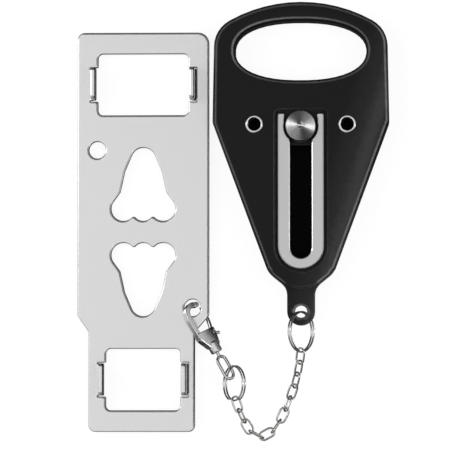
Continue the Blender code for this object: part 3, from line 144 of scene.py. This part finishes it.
# Softboxes: name, place and size in metres, and power in watts
LAMPS = (
    ("left strip", (-0.72, 0.17, 0.5), (0.14, 1.2), 1.9),
    ("right strip", (0.8, -0.1, 0.55), (0.14, 1.2), 1.7),
    ("low panel", (0.85, 0.47, 0.2), (0.3, 0.14), 0.11),
)


def middle(node):
    """Centre of a CAD node's box."""
    low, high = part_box(node)
    return (Vector(low) + Vector(high)) / 2


class Reading:
    """A number, colour or vector that a finish works with, written as plain arithmetic."""

    def __init__(self, finish, socket):
        self.finish = finish
        self.socket = socket

    def arithmetic(self, operation, first, second=0.0):
        return self.finish.node("ShaderNodeMath", {"operation": operation}, {0: first, 1: second})

    def __add__(self, other):
        return self.arithmetic("ADD", self, other)

    def __radd__(self, other):
        return self.arithmetic("ADD", other, self)

    def __sub__(self, other):
        return self.arithmetic("SUBTRACT", self, other)

    def __rsub__(self, other):
        return self.arithmetic("SUBTRACT", other, self)

    def __mul__(self, other):
        return self.arithmetic("MULTIPLY", self, other)

    def __rmul__(self, other):
        return self.arithmetic("MULTIPLY", other, self)

    def __pow__(self, other):
        return self.arithmetic("POWER", self, other)

    def __abs__(self):
        return self.arithmetic("ABSOLUTE", self)


class Nodes:
    """Adds nodes to a material's or a world's tree and hands out their readings."""

    def __init__(self, tree):
        self.tree = tree

    def node(self, kind, settings=None, inputs=None, output=0):
        """Adds a node, sets it up, feeds its sockets and returns one of its outputs."""
        made = self.tree.nodes.new(kind)
        for name, value in (settings or {}).items():
            if name == "stops":
                self.stops(made.color_ramp, value)
            else:
                setattr(made, name, value)
        for name, value in (inputs or {}).items():
            self.feed(made.inputs[name], value)
        return Reading(self, made.outputs[output])

    def stops(self, ramp, places):
        """Gives a ramp its stops, each a place and a grey."""
        while len(ramp.elements) < len(places):
            ramp.elements.new(1.0)
        for element, (place, grey) in zip(ramp.elements, places):
            element.position = place
            element.color = (grey, grey, grey, 1.0)

    def feed(self, socket, value):
        """Gives a socket a reading or a fixed value."""
        if isinstance(value, Reading):
            self.tree.links.new(value.socket, socket)
        else:
            socket.default_value = value

    def ramp(self, reading, *places):
        """A reading shaped by stops."""
        return self.node("ShaderNodeValToRGB", {"stops": places}, {"Fac": reading})

    def along(self, vector, direction):
        """How far a vector reaches along a direction."""
        settings = {"operation": "DOT_PRODUCT"}
        return self.node("ShaderNodeVectorMath", settings, {0: vector, 1: direction}, "Value")


class Finish(Nodes):
    """One surface finish: a material with a Principled shader, and the readings that vary over it."""

    def __init__(self, name, colour, roughness, metallic=0.0, **fixed):
        self.material = bpy.data.materials.new(name)
        self.material.use_nodes = True
        super().__init__(self.material.node_tree)
        self.shader = self.tree.nodes["Principled BSDF"]
        self.set("Base Color", (*colour, 1.0))
        self.set("Roughness", roughness)
        self.set("Metallic", metallic)
        for socket, value in fixed.items():
            self.set(socket.replace("_", " "), value)

    def set(self, name, value):
        """Feeds one of the shader's own sockets."""
        self.feed(self.shader.inputs[name], value)

    def where(self, stretch=EVEN):
        """The place on the object in millimetres, stretched along each direction."""
        here = self.node("ShaderNodeTexCoord", output="Object")
        scale = tuple(s / MM for s in stretch)
        return self.node("ShaderNodeVectorMath", {"operation": "MULTIPLY"}, {0: here, 1: scale})

    def noise(self, per_mm, stretch=EVEN, detail=2.0, roughness=0.5):
        """Cloudy variation from 0 to 1, about so many clouds a millimetre."""
        inputs = {"Vector": self.where(stretch), "Scale": per_mm, "Detail": detail, "Roughness": roughness}
        return self.node("ShaderNodeTexNoise", {}, inputs)

    def mix(self, factor, first, second):
        """A colour between two, or between a colour and a reading."""
        made = self.tree.nodes.new("ShaderNodeMix")
        made.data_type = "RGBA"
        self.feed(made.inputs["Factor"], factor)
        for name, value in (("A", first), ("B", second)):
            socket = next(s for s in made.inputs if s.name == name and s.type == "RGBA")
            self.feed(socket, value if isinstance(value, Reading) else (*value, 1.0))
        return Reading(self, next(s for s in made.outputs if s.type == "RGBA"))

    def bump(self, height, depth_mm, strength=1.0, edge_mm=0.0):
        """Raises the surface by a height reading, over edges softened by a small radius if one is given."""
        inputs = {"Height": height, "Distance": depth_mm * MM, "Strength": strength}
        if edge_mm:
            inputs["Normal"] = self.soft_edges(edge_mm)
        self.set("Normal", self.node("ShaderNodeBump", {}, inputs))

    def soft_edges(self, edge_mm, samples=4):
        """A normal that rounds hard edges."""
        return self.node("ShaderNodeBevel", {"samples": samples}, {"Radius": edge_mm * MM})

    def facing(self, direction, normal=None):
        """How far the surface faces a direction of its own object, from -1 to 1."""
        if normal is None:
            turned = self.node("ShaderNodeTexCoord", output="Normal")
        else:
            settings = {"vector_type": "NORMAL", "convert_from": "WORLD", "convert_to": "OBJECT"}
            turned = self.node("ShaderNodeVectorTransform", settings, {0: normal})
        return self.along(turned, direction)


def sheet_steel(name, colour, roughness, along, painted_edge_mm=0.0):
    """Satin sheet: fine rolling lines along one direction, small marks, and painted highlight and shade on
    edges facing upper right.
    """
    finish = Finish(name, colour, roughness, 1.0)
    lines = [6.0, 6.0, 6.0]
    lines[along] = 0.08
    grain = finish.noise(1.0, tuple(lines), 3.0, 0.6)
    clouds = finish.noise(0.05, detail=3.0)
    marks = finish.ramp(finish.noise(0.9, (1.0, 0.25, 1.0), 4.0, 0.7), (0.62, 0.0), (0.75, 1.0))
    bright = tuple(min(1.0, c * 1.05) for c in colour)
    dull = tuple(c * 0.94 for c in colour)
    face = finish.mix(grain * 0.6 + clouds * 0.4, dull, bright)
    if painted_edge_mm:
        # Painted light on edges facing the camera's upper right: a white painted highlight just inside, then
        # painted dark shade
        turned = finish.facing(SHADED_EDGE_DIRECTION, finish.soft_edges(painted_edge_mm, 16))
        height = finish.node("ShaderNodeSeparateXYZ", {}, {0: finish.where()}, "Z") * (1 / SHEET_REACH_MM)
        lying = finish.ramp(height, (0.25, 1.0), (0.3, 0.0))
        painted_edge_highlight = finish.ramp(turned, (0.01, 0.0), (0.04, 0.9), (0.1, 0.0))
        painted_edge_shade = finish.ramp(turned, (0.06, 0.0), (0.12, 0.95))
        face = finish.mix(painted_edge_highlight * lying, face, WHITE)
        face = finish.mix(painted_edge_shade * lying, face, (0.02, 0.02, 0.02))
    finish.set("Base Color", face)
    finish.set("Roughness", roughness - 0.05 + grain * 0.07 + clouds * 0.04 + marks * 0.04)
    finish.bump(grain, 0.012, 0.5)
    return finish.material


def edge_with_painted_shade(name, colour, roughness):
    """Rounded edge of stamped sheet: bright, with a band of painted shade on the sides that face the camera's
    upper right.
    """
    finish = Finish(name, colour, roughness, 1.0)
    marks = finish.noise(2.5, (1.0, 1.0, 0.15), 3.0)
    # Painted shade: edges that face the camera's upper right are painted nearly black
    painted_shade = finish.ramp(finish.facing(SHADED_EDGE_DIRECTION), (0.1, 0.0), (0.28, 1.0))
    worn = finish.mix(marks, tuple(c * 0.9 for c in colour), colour)
    finish.set("Base Color", finish.mix(painted_shade, worn, (0.03, 0.03, 0.03)))
    finish.set("Roughness", roughness + marks * 0.1 + painted_shade * 0.2)
    finish.bump(marks, 0.02, 0.4)
    return finish.material


def edge_with_painted_light(name, bright, dull, middle_x):
    """Rounded edge of the pressed track: painted highlight along the slot, painted shade on its outer sides.
    """
    finish = Finish(name, bright, 0.3, 1.0)
    place = finish.node("ShaderNodeSeparateXYZ", {}, {0: finish.where()}, "X") - middle_x / MM
    towards_slot = place * -0.2 * finish.facing(ACROSS) + finish.facing(UPWARDS)
    # Painted highlight along the slot's edges and painted shade outside them: rubbed is the painted
    # highlight's mask
    rubbed = finish.ramp(towards_slot, (0.05, 0.0), (0.3, 1.0))
    marks = finish.noise(1.5, EVEN, 3.0)
    finish.set("Base Color", finish.mix(rubbed * (0.6 + marks * 0.6), dull, bright))
    finish.set("Roughness", 0.46 - rubbed * 0.28)
    finish.bump(marks, 0.02, 0.3)
    return finish.material


def moulded_plastic(name, colour, roughness, grain_mm, edge_mm, worn=0.0, painted_sheen=0.0, shine=0.18):
    """Black moulding: fine grain, painted highlight along its edges on the lit side, painted sheen down one
    flank.
    """
    finish = Finish(name, colour, roughness, Specular_IOR_Level=shine)
    grain = finish.noise(1.0 / grain_mm, detail=2.0)
    rubbed = finish.noise(0.06, detail=2.0)
    patches = finish.noise(0.35, detail=3.0)
    eased = finish.soft_edges(edge_mm)
    level = finish.facing(FACE_ON, eased)
    # Painted highlight: a light line on the rounded edges that face the light from the right
    lit_side = finish.ramp(finish.facing((0.9, -0.4, 0.0), eased), (0.05, 0.4), (0.3, 1.0))
    edge = finish.ramp(level, (0.78, 0.0), (0.88, 1.0), (0.94, 1.0), (0.985, 0.0)) * lit_side
    lighter = tuple(c * 1.5 + 0.002 for c in colour)
    face = finish.mix(grain * 0.5 + rubbed * 0.5, colour, lighter)
    if painted_sheen:
        # Painted sheen: a lighter band down the right flank that stands in for reflected light
        inward = (FLANK_MM - finish.along(finish.where(), FLANK_DIRECTION)) * (1 / SHEEN_MM)
        painted_sheen_band = finish.ramp(inward, (0.03, 0.0), (0.15, 1.0), (0.34, 0.3), (0.65, 0.0))
        face = finish.mix(painted_sheen_band * (0.4 + patches) * painted_sheen, face, (0.05, 0.05, 0.05))
    # worn sets the strength of the painted rim highlight, not of any wear
    finish.set("Base Color", finish.mix(edge * (0.4 + patches * 0.9) * worn, face, (0.3, 0.3, 0.3)))
    finish.set("Roughness", roughness - 0.08 + rubbed * 0.14 + grain * 0.04)
    finish.bump(grain, 0.03, 0.35, edge_mm)
    return finish.material


def plated(name, colour, roughness, cloud_mm):
    """Plated metal: faint waviness and clouding, with darker specks where the plating is thin."""
    finish = Finish(name, colour, roughness, 1.0)
    clouds = finish.noise(1.0 / cloud_mm, detail=3.0)
    specks = finish.ramp(finish.noise(4.0, detail=2.0), (0.68, 0.0), (0.8, 1.0))
    dark = tuple(c * 0.55 for c in colour)
    finish.set("Base Color", finish.mix(specks * 0.6, colour, dark))
    finish.set("Roughness", roughness + clouds * 0.08 + specks * 0.15)
    finish.bump(clouds, 0.02, 0.3)
    return finish.material


def drawn_wire(name, colour, roughness):
    """Nickel-plated drawn wire: die lines round the section and grey wear in patches."""
    finish = Finish(name, colour, roughness, 1.0)
    worn = finish.ramp(finish.noise(0.7, detail=3.0), (0.4, 0.0), (0.7, 1.0))
    lines = finish.noise(5.0, detail=2.0)
    grey = tuple(c * 0.72 for c in colour)
    finish.set("Base Color", finish.mix(worn * 0.7, colour, grey))
    finish.set("Roughness", roughness + worn * 0.12 + lines * 0.06)
    finish.bump(lines, 0.008, 0.4)
    return finish.material


def turned_metal(name, colour, roughness, axis):
    """Lathe-turned metal: fine rings round an axis that stands along Z."""
    finish = Finish(name, colour, roughness, 1.0)
    offset = tuple(-c / MM for c in axis)
    centred = finish.node("ShaderNodeVectorMath", {"operation": "ADD"}, {0: finish.where(), 1: offset})
    flat = finish.node("ShaderNodeVectorMath", {"operation": "MULTIPLY"}, {0: centred, 1: (1.0, 1.0, 0.0)})
    radius = finish.node("ShaderNodeVectorMath", {"operation": "LENGTH"}, {0: flat}, "Value")
    inputs = {"W": radius, "Scale": 7.0, "Detail": 3.0}
    rings = finish.node("ShaderNodeTexNoise", {"noise_dimensions": "1D"}, inputs)
    finish.set("Base Color", finish.mix(rings, tuple(c * 0.86 for c in colour), colour))
    finish.set("Roughness", roughness + rings * 0.12)
    finish.bump(rings, 0.015, 0.5)
    return finish.material


def dull_rubber(name, colour):
    """Brake rubber with a matt, slightly dusty face."""
    finish = Finish(name, colour, 0.85, Specular_IOR_Level=0.3)
    dust = finish.noise(1.5, detail=4.0)
    finish.set("Base Color", finish.mix(dust * 0.4, colour, tuple(c + 0.05 for c in colour)))
    finish.bump(dust, 0.05, 0.5)
    return finish.material


def dress(node, *materials):
    """Gives a CAD node its finish, and further finishes for the faces that a modifier adds."""
    thing = NODES[node]
    thing.data.materials.clear()
    for material in materials:
        thing.data.materials.append(material)
    return thing


def weld(thing):
    """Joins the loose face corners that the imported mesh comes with."""
    joined = thing.modifiers.new("joined corners", "WELD")
    joined.merge_threshold = 0.002 * MM


def shade_by_angle(thing, degrees=HARD_EDGE):
    """Shades a node smooth but for its hard edges, and keeps its flat faces flat."""
    group = bpy.data.node_groups.new("shade by angle", "GeometryNodeTree")
    group.interface.new_socket("Geometry", in_out="INPUT", socket_type="NodeSocketGeometry")
    group.interface.new_socket("Geometry", in_out="OUTPUT", socket_type="NodeSocketGeometry")
    given = group.nodes.new("NodeGroupInput")
    angle = group.nodes.new("GeometryNodeInputMeshEdgeAngle")
    hard = group.nodes.new("FunctionNodeCompare")
    normals = group.nodes.new("GeometryNodeSetMeshNormal")
    result = group.nodes.new("NodeGroupOutput")
    hard.inputs["B"].default_value = radians(degrees)
    normals.inputs["Face Sharpness"].default_value = False
    for source, target in (
        (angle.outputs["Unsigned Angle"], hard.inputs["A"]),
        (given.outputs["Geometry"], normals.inputs["Mesh"]),
        (hard.outputs["Result"], normals.inputs["Edge Sharpness"]),
        (normals.outputs["Mesh"], result.inputs["Geometry"]),
    ):
        group.links.new(source, target)
    shade = thing.modifiers.new("shaded by angle", "NODES")
    shade.node_group = group
    flats = thing.modifiers.new("flat faces kept", "WEIGHTED_NORMAL")
    flats.keep_sharp = True
    flats.weight = 100


def ease_edges(thing, width_mm=None, segments=2, degrees=40, material=-1):
    """Rounds a node's hard edges, by the listed width where none is given."""
    weld(thing)
    flat = thing.modifiers.new("flat faces joined", "DECIMATE")
    flat.decimate_type = "DISSOLVE"
    flat.angle_limit = radians(ONE_FACE)
    eased = thing.modifiers.new("eased edges", "BEVEL")
    eased.width = (width_mm or EDGES_MM[thing.name]) * MM
    eased.segments = segments
    eased.use_clamp_overlap = False
    eased.limit_method = "ANGLE"
    eased.angle_limit = radians(degrees)
    eased.material = material
    shade_by_angle(thing, degrees)


def round_wire(thing, levels):
    """Makes a wire's many-sided section round."""
    weld(thing)
    finer = thing.modifiers.new("round section", "SUBSURF")
    finer.levels = levels
    finer.render_levels = levels
    shade_by_angle(thing, 60)


def turned_piece(name, profile, count, centre):
    """A turned piece about a standing axis, from points of radius and height."""
    mesh = bmesh.new()
    rings = []
    for radius, height in profile:
        if radius == 0:
            rings.append([mesh.verts.new((0, 0, height))])
        else:
            angles = [2 * pi * i / count for i in range(count)]
            rings.append([mesh.verts.new((radius * cos(a), radius * sin(a), height)) for a in angles])
    for upper, lower in zip(rings, rings[1:]):
        for i in range(count):
            j = (i + 1) % count
            loop = [upper[i % len(upper)], upper[j % len(upper)]]
            loop += [lower[j % len(lower)], lower[i % len(lower)]]
            mesh.faces.new([v for k, v in enumerate(loop) if v not in loop[:k]])
    bmesh.ops.recalc_face_normals(mesh, faces=mesh.faces)
    data = bpy.data.meshes.new(name)
    mesh.to_mesh(data)
    mesh.free()
    data.shade_smooth()
    data.set_sharp_from_angle(angle=radians(HARD_EDGE))
    thing = bpy.data.objects.new(name, data)
    thing.location = centre
    bpy.context.scene.collection.objects.link(thing)
    return thing


class LockFinishes(bpy.types.PropertyGroup):
    """Colours and softness of the lock's finishes."""

    plate_colour: FloatVectorProperty(
        name="Plate",
        description="Colour of the satin sheet steel",
        subtype="COLOR",
        default=(0.82, 0.82, 0.825),
    )
    plate_roughness: FloatProperty(
        name="Plate Roughness",
        description="How satin the sheet steel is",
        subtype="FACTOR",
        default=0.34,
        min=0,
        max=1,
    )
    plastic_colour: FloatVectorProperty(
        name="Casing",
        description="Colour of the moulded casing",
        subtype="COLOR",
        default=(0.004, 0.004, 0.0043),
    )
    plastic_roughness: FloatProperty(
        name="Casing Roughness",
        description="How matt the casing is",
        subtype="FACTOR",
        default=0.4,
        min=0,
        max=1,
    )
    plating_colour: FloatVectorProperty(
        name="Plating",
        description="Colour of the plated clasp and button",
        subtype="COLOR",
        default=(0.74, 0.74, 0.745),
    )
    wire_colour: FloatVectorProperty(
        name="Wire", description="Colour of the chain and rings", subtype="COLOR", default=(0.66, 0.655, 0.64)
    )


class LockDetails(bpy.types.PropertyGroup):
    """Small sizes that the finishing adds."""

    plate_edge: FloatProperty(
        name="Plate Edge",
        description="Rounding of the stamped edges, in millimetres",
        default=0.45,
        min=0.05,
        max=0.5,
    )
    track_edge: FloatProperty(
        name="Track Edge",
        description="Rounding of the track's edges, in millimetres",
        default=0.7,
        min=0.05,
        max=0.75,
    )
    moulding_edge: FloatProperty(
        name="Moulding Edge",
        description="Softness of the moulded edges, in millimetres",
        default=0.8,
        min=0.1,
        max=1,
    )
    cap_grooves: IntProperty(
        name="Cap Grooves", description="Turned grooves on the button's face", default=13, min=4, max=30
    )
    groove_depth: FloatProperty(
        name="Groove Depth",
        description="Depth of the turned grooves, in millimetres",
        default=0.1,
        min=0,
        max=0.2,
    )


class StudioSettings(bpy.types.PropertyGroup):
    """Camera and light."""

    height: FloatProperty(
        name="Camera Distance", description="From the lens to the object", unit="LENGTH", default=1600 * MM
    )
    view_width: FloatProperty(
        name="View Width",
        description="Width of the surface that the picture takes in",
        unit="LENGTH",
        default=196.2 * MM,
    )
    lean: FloatProperty(
        name="Lean",
        description="How far the camera leans from straight down",
        subtype="ANGLE",
        default=radians(3.5),
    )
    aim: FloatVectorProperty(
        name="Aim",
        description="Point that the camera looks at",
        subtype="TRANSLATION",
        default=(38.2 * MM, -1.3 * MM, 0),
    )
    sky: FloatProperty(
        name="Sky", description="Strength of the light from overhead", default=0.93, min=0, max=2
    )
    floor_colour: FloatVectorProperty(
        name="Floor", description="Colour of the studio floor", subtype="COLOR", default=(0.2, 0.2, 0.2)
    )
    floor_glow: FloatProperty(
        name="Floor Glow",
        description="White that the camera alone sees on the floor",
        default=0.9,
        min=0,
        max=1,
    )


class LOCK_OT_plate(bpy.types.Operator):
    """Finish the strike plate as satin sheet with tumbled edges that carry painted highlight and painted
    shade
    """

    bl_idname = "door_lock.plate"
    bl_label = "Strike Plate"

    def execute(self, context):
        looks = context.scene.lock_finishes
        # 1.6 mm is how far the painted edge highlight and shade reach into the plate's edges
        face = sheet_steel("satin plate", tuple(looks.plate_colour), looks.plate_roughness, 1, 1.6)
        edge = edge_with_painted_shade("tumbled edge", (0.86, 0.86, 0.865), 0.16)
        plate = dress("strike_plate", face, edge)
        ease_edges(plate, context.scene.lock_details.plate_edge, 2, 50, 1)
        return {"FINISHED"}


class LOCK_OT_casing(bpy.types.Operator):
    """Finish the moulded casing, its cover and the button's carrier"""

    bl_idname = "door_lock.casing"
    bl_label = "Casing and Cover"

    def execute(self, context):
        looks = context.scene.lock_finishes
        edge = context.scene.lock_details.moulding_edge
        colour = tuple(looks.plastic_colour)
        # 1.1 is the strength of the casing's painted rim highlight, 1.35 that of its painted sheen
        shell = moulded_plastic("moulded casing", colour, looks.plastic_roughness, 0.35, edge, 1.1, 1.35)
        casing = dress("body_casing", shell)
        weld(casing)
        shade_by_angle(casing)
        sheet = moulded_plastic("cover sheet", (0.003, 0.003, 0.003), 0.6, 0.5, 0.2, shine=0.06)
        ease_edges(dress("back_cover", sheet))
        carrier = moulded_plastic("carrier moulding", (0.012, 0.012, 0.012), 0.35, 0.4, 0.15)
        ease_edges(dress("slide_block", carrier))
        return {"FINISHED"}


class LOCK_OT_track(bpy.types.Operator):
    """Finish the track and the two eyelets"""

    bl_idname = "door_lock.track"
    bl_label = "Track and Eyelets"

    def execute(self, context):
        track = dress(
            "slide_track",
            sheet_steel("satin track", (0.6, 0.6, 0.605), 0.3, 1),
            edge_with_painted_light("track edge", (0.92, 0.92, 0.92), (0.4, 0.4, 0.405), middle("slide_track").x),
        )
        ease_edges(track, context.scene.lock_details.track_edge, 3, 50, 1)
        for side in ("left", "right"):
            node = f"{side}_eyelet"
            plating = turned_metal(f"{side} eyelet plating", (0.85, 0.85, 0.85), 0.22, middle(node))
            ease_edges(dress(node, plating))
        return {"FINISHED"}


class LOCK_OT_button(bpy.types.Operator):
    """Build the button's turned cap and finish its stem"""

    bl_idname = "door_lock.button"
    bl_label = "Button"

    def execute(self, context):
        details = context.scene.lock_details
        low, high = (Vector(corner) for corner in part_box("knob_cap"))
        centre = (low + high) / 2
        radius = (high.x - low.x) / 2
        cone = 0.9 * MM
        dimple = 1.6 * MM
        dimple_depth = 1.0 * MM
        drill_point = (0.8 * MM, 0.3 * MM)
        rim = 0.35 * MM
        rim_share = 0.35
        foot = 0.3 * MM
        wall = 2.2 * MM
        pocket = 2.1 * MM
        depth = details.groove_depth * MM
        top = high.z - centre.z
        bottom = low.z - centre.z

        def face(at):
            return top - cone * at / radius

        profile = [(0, top - dimple_depth - drill_point[1]), (drill_point[0], top - dimple_depth)]
        halves = 2 * details.cap_grooves
        for i in range(halves + 1):
            at = dimple + (radius - rim - dimple) * i / halves
            profile.append((at, face(at) - (depth if i % 2 else 0)))
        profile += [
            (radius - rim * rim_share, face(radius) - rim * rim_share),
            (radius, face(radius) - rim),
            (radius, bottom + foot),
            (radius - foot, bottom),
            (radius - wall, bottom),
            (radius - wall, bottom + pocket),
            (0, bottom + pocket),
        ]
        cap = turned_piece("turned_cap", profile, 72, centre)
        cap.data.materials.append(plated("cap plating", (0.56, 0.56, 0.56), 0.24, 3.0))
        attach(cap, "knob")
        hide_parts("knob_cap")
        steel = turned_metal("stem steel", (0.6, 0.6, 0.6), 0.2, middle("knob_stem"))
        ease_edges(dress("knob_stem", steel))
        return {"FINISHED"}


class LOCK_OT_brake(bpy.types.Operator):
    """Finish the brake inside the body: shoe, spring, clip and the cover's screws"""

    bl_idname = "door_lock.brake"
    bl_label = "Brake and Screws"

    def execute(self, context):
        ease_edges(dress("brake_shoe", dull_rubber("brake rubber", (0.025, 0.025, 0.025))))
        self.spring(drawn_wire("spring wire", (0.55, 0.55, 0.56), 0.22))
        ease_edges(dress("retaining_clip", sheet_steel("clip steel", (0.5, 0.5, 0.5), 0.3, 0)))
        for i in range(1, 5):
            node = f"cover_screw_{i}"
            ease_edges(dress(node, turned_metal(f"screw {i} zinc", (0.5, 0.5, 0.51), 0.28, middle(node))))
        return {"FINISHED"}

    def spring(self, wire):
        """The spring under the button, a rounded copy of the CAD spring hung on the slider."""
        press = next(j for j in frame["record"]["behaviour"]["joints"] if j["name"] == "button_press")
        low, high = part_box("knob_spring")
        coil = bpy.data.objects.new("coil_spring", NODES["knob_spring"].data.copy())
        bpy.context.scene.collection.objects.link(coil)
        coil.data.materials.clear()
        coil.data.materials.append(wire)
        round_wire(coil, 1)
        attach(coil, "slider")
        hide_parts("knob_spring")
        keep = 1 - press["range_m"][1] / (high[2] - low[2])
        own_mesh(coil)


class LOCK_OT_clasp(bpy.types.Operator):
    """Finish the clasp, its trigger, pin and spring, and the swivel eye"""

    bl_idname = "door_lock.clasp"
    bl_label = "Clasp"

    def execute(self, context):
        colour = tuple(context.scene.lock_finishes.plating_colour)
        casting = plated("clasp casting", colour, 0.14, 1.6)
        for node in ("clasp_body", "clasp_trigger", "swivel_eye", "trigger_pin"):
            ease_edges(dress(node, casting))
        round_wire(dress("trigger_spring", drawn_wire("trigger wire", colour, 0.2)), 1)
        return {"FINISHED"}


class LOCK_OT_chain(bpy.types.Operator):
    """Finish the split rings and the chain's links"""

    bl_idname = "door_lock.chain"
    bl_label = "Chain and Rings"

    def execute(self, context):
        colour = tuple(context.scene.lock_finishes.wire_colour)
        ring = drawn_wire("ring wire", colour, 0.12)
        link = drawn_wire("link wire", tuple(c * 0.95 for c in colour), 0.16)
        for node in ("body_split_ring", "clasp_split_ring"):
            round_wire(dress(node, ring), 1)
        for node in sorted(n for n in NODES if n.startswith("chain_link")):
            round_wire(dress(node, link), 2)
        return {"FINISHED"}


class LOCK_OT_studio(bpy.types.Operator):
    """Set the floor, the lights and the camera"""

    bl_idname = "door_lock.studio"
    bl_label = "Studio"

    def execute(self, context):
        studio = context.scene.lock_studio
        self.floor(studio)
        self.sky(context, studio)
        for lamp in LAMPS:
            self.lamp(*lamp)
        self.camera(context, studio)
        context.scene.view_settings.view_transform = "Standard"
        return {"FINISHED"}

    def floor(self, studio):
        """A wide pale floor that fades to the backdrop, with a slow rise at its far end."""
        mesh = bmesh.new()
        across = [FLOOR_REACH * (2 * k / FLOOR_COLUMNS - 1) for k in range(FLOOR_COLUMNS + 1)]
        rows = []
        for i in range(FLOOR_ROWS + 1):
            along = -FLOOR_REACH + 2 * FLOOR_REACH * i / FLOOR_ROWS
            rise = max(0.0, along - FLOOR_FLAT) ** 2 * FLOOR_RISE
            rows.append([mesh.verts.new((x, along, FLOOR_Z + rise)) for x in across])
        for near, far in zip(rows, rows[1:]):
            for k in range(FLOOR_COLUMNS):
                mesh.faces.new((near[k], near[k + 1], far[k + 1], far[k]))
        data = bpy.data.meshes.new("studio_floor")
        mesh.to_mesh(data)
        mesh.free()
        data.shade_smooth()
        floor = bpy.data.objects.new("studio_floor", data)
        bpy.context.scene.collection.objects.link(floor)
        finish = Finish("floor paper", tuple(studio.floor_colour), 0.7)
        finish.set("Specular IOR Level", 0.2)
        ray = finish.node("ShaderNodeLightPath", output="Is Camera Ray")
        finish.set("Emission Color", finish.mix(ray * studio.floor_glow, BLACK, WHITE))
        finish.set("Emission Strength", 1.0)
        data.materials.append(finish.material)

    def sky(self, context, studio):
        """A pale band overhead from left to right, a low glow at one side and light from under the floor."""
        world = bpy.data.worlds.new("studio sky")
        context.scene.world = world
        world.use_nodes = True
        nodes = Nodes(world.node_tree)
        across = nodes.node("ShaderNodeTexCoord", output="Generated")
        side = nodes.node("ShaderNodeSeparateXYZ", {}, {0: across}, "Y")
        height = nodes.node("ShaderNodeSeparateXYZ", {}, {0: across}, "Z")
        band = nodes.ramp(abs(side), (0.14, 1.0), (0.5, 0.06))
        rise = nodes.ramp(height, (0.1, 0.03), (0.55, 1.0))
        low = nodes.ramp(nodes.along(across, GLOW_DIRECTION), (0.55, 0.0), (0.9, 0.8))
        under = nodes.ramp(0 - height, (0.05, 0.0), (0.5, 0.5))
        level = (band * rise + low + under) * studio.sky
        ray = nodes.node("ShaderNodeLightPath", output="Is Camera Ray")
        back = world.node_tree.nodes["Background"]
        nodes.feed(back.inputs["Color"], (1.0, 1.0, 1.0, 1.0))
        nodes.feed(back.inputs["Strength"], level * (1 - ray) + ray)

    def lamp(self, name, place, size, power):
        """A softbox that faces the object."""
        light = bpy.data.lights.new(name, "AREA")
        light.shape = "RECTANGLE"
        light.size, light.size_y = size
        light.energy = power
        lamp = bpy.data.objects.new(name, light)
        lamp.location = place
        lamp.visible_camera = False
        aim = Vector(LAMP_TARGET) - Vector(place)
        lamp.rotation_euler = aim.to_track_quat("-Z", "Y").to_euler()
        bpy.context.scene.collection.objects.link(lamp)

    def camera(self, context, studio):
        """The photograph's view: nearly straight down, leaning a little to the lower right."""
        lens = bpy.data.cameras.new("camera")
        lens.sensor_fit = "HORIZONTAL"
        lens.lens = lens.sensor_width * studio.height / studio.view_width
        lens.clip_start = 0.01
        lens.clip_end = 20.0
        camera = bpy.data.objects.new("camera", lens)
        sideways = Vector(LEAN_DIRECTION) * sin(studio.lean)
        away = sideways + Vector((0, 0, cos(studio.lean)))
        aim = Vector(studio.aim)
        camera.location = aim + away * studio.height
        right = Vector((0, 1, 0)).cross(away).normalized()
        camera.rotation_euler = Matrix((right, away.cross(right), away)).transposed().to_euler()
        context.scene.collection.objects.link(camera)
        context.scene.camera = camera


PIECES = (
    LOCK_OT_plate,
    LOCK_OT_casing,
    LOCK_OT_track,
    LOCK_OT_button,
    LOCK_OT_brake,
    LOCK_OT_clasp,
    LOCK_OT_chain,
    LOCK_OT_studio,
)


class LOCK_PT_panel(bpy.types.Panel):
    """The lock's settings and pieces"""

    bl_idname = "LOCK_PT_panel"
    bl_label = "Door Lock"
    bl_space_type = "VIEW_3D"
    bl_region_type = "UI"
    bl_category = "Door Lock"

    def draw(self, context):
        for group in (context.scene.lock_finishes, context.scene.lock_details, context.scene.lock_studio):
            box = self.layout.box()
            for name in group.__annotations__:
                box.prop(group, name)
        column = self.layout.column(align=True)
        for piece in PIECES:
            column.operator(piece.bl_idname)


GROUPS = {"lock_finishes": LockFinishes, "lock_details": LockDetails, "lock_studio": StudioSettings}


def register():
    for group in GROUPS.values():
        bpy.utils.register_class(group)
    for piece in (*PIECES, LOCK_PT_panel):
        bpy.utils.register_class(piece)
    for name, group in GROUPS.items():
        setattr(bpy.types.Scene, name, PointerProperty(type=group))


def unregister():
    for name in GROUPS:
        delattr(bpy.types.Scene, name)
    for piece in reversed((*GROUPS.values(), *PIECES, LOCK_PT_panel)):
        bpy.utils.unregister_class(piece)


def main():
    """Registers the add-on, dresses every piece and sets the studio."""
    register()
    bpy.ops.door_lock.plate()
    bpy.ops.door_lock.casing()
    bpy.ops.door_lock.track()
    bpy.ops.door_lock.button()
    bpy.ops.door_lock.brake()
    bpy.ops.door_lock.clasp()
    bpy.ops.door_lock.chain()
    bpy.ops.door_lock.studio()


if __name__ == "__main__":
    main()
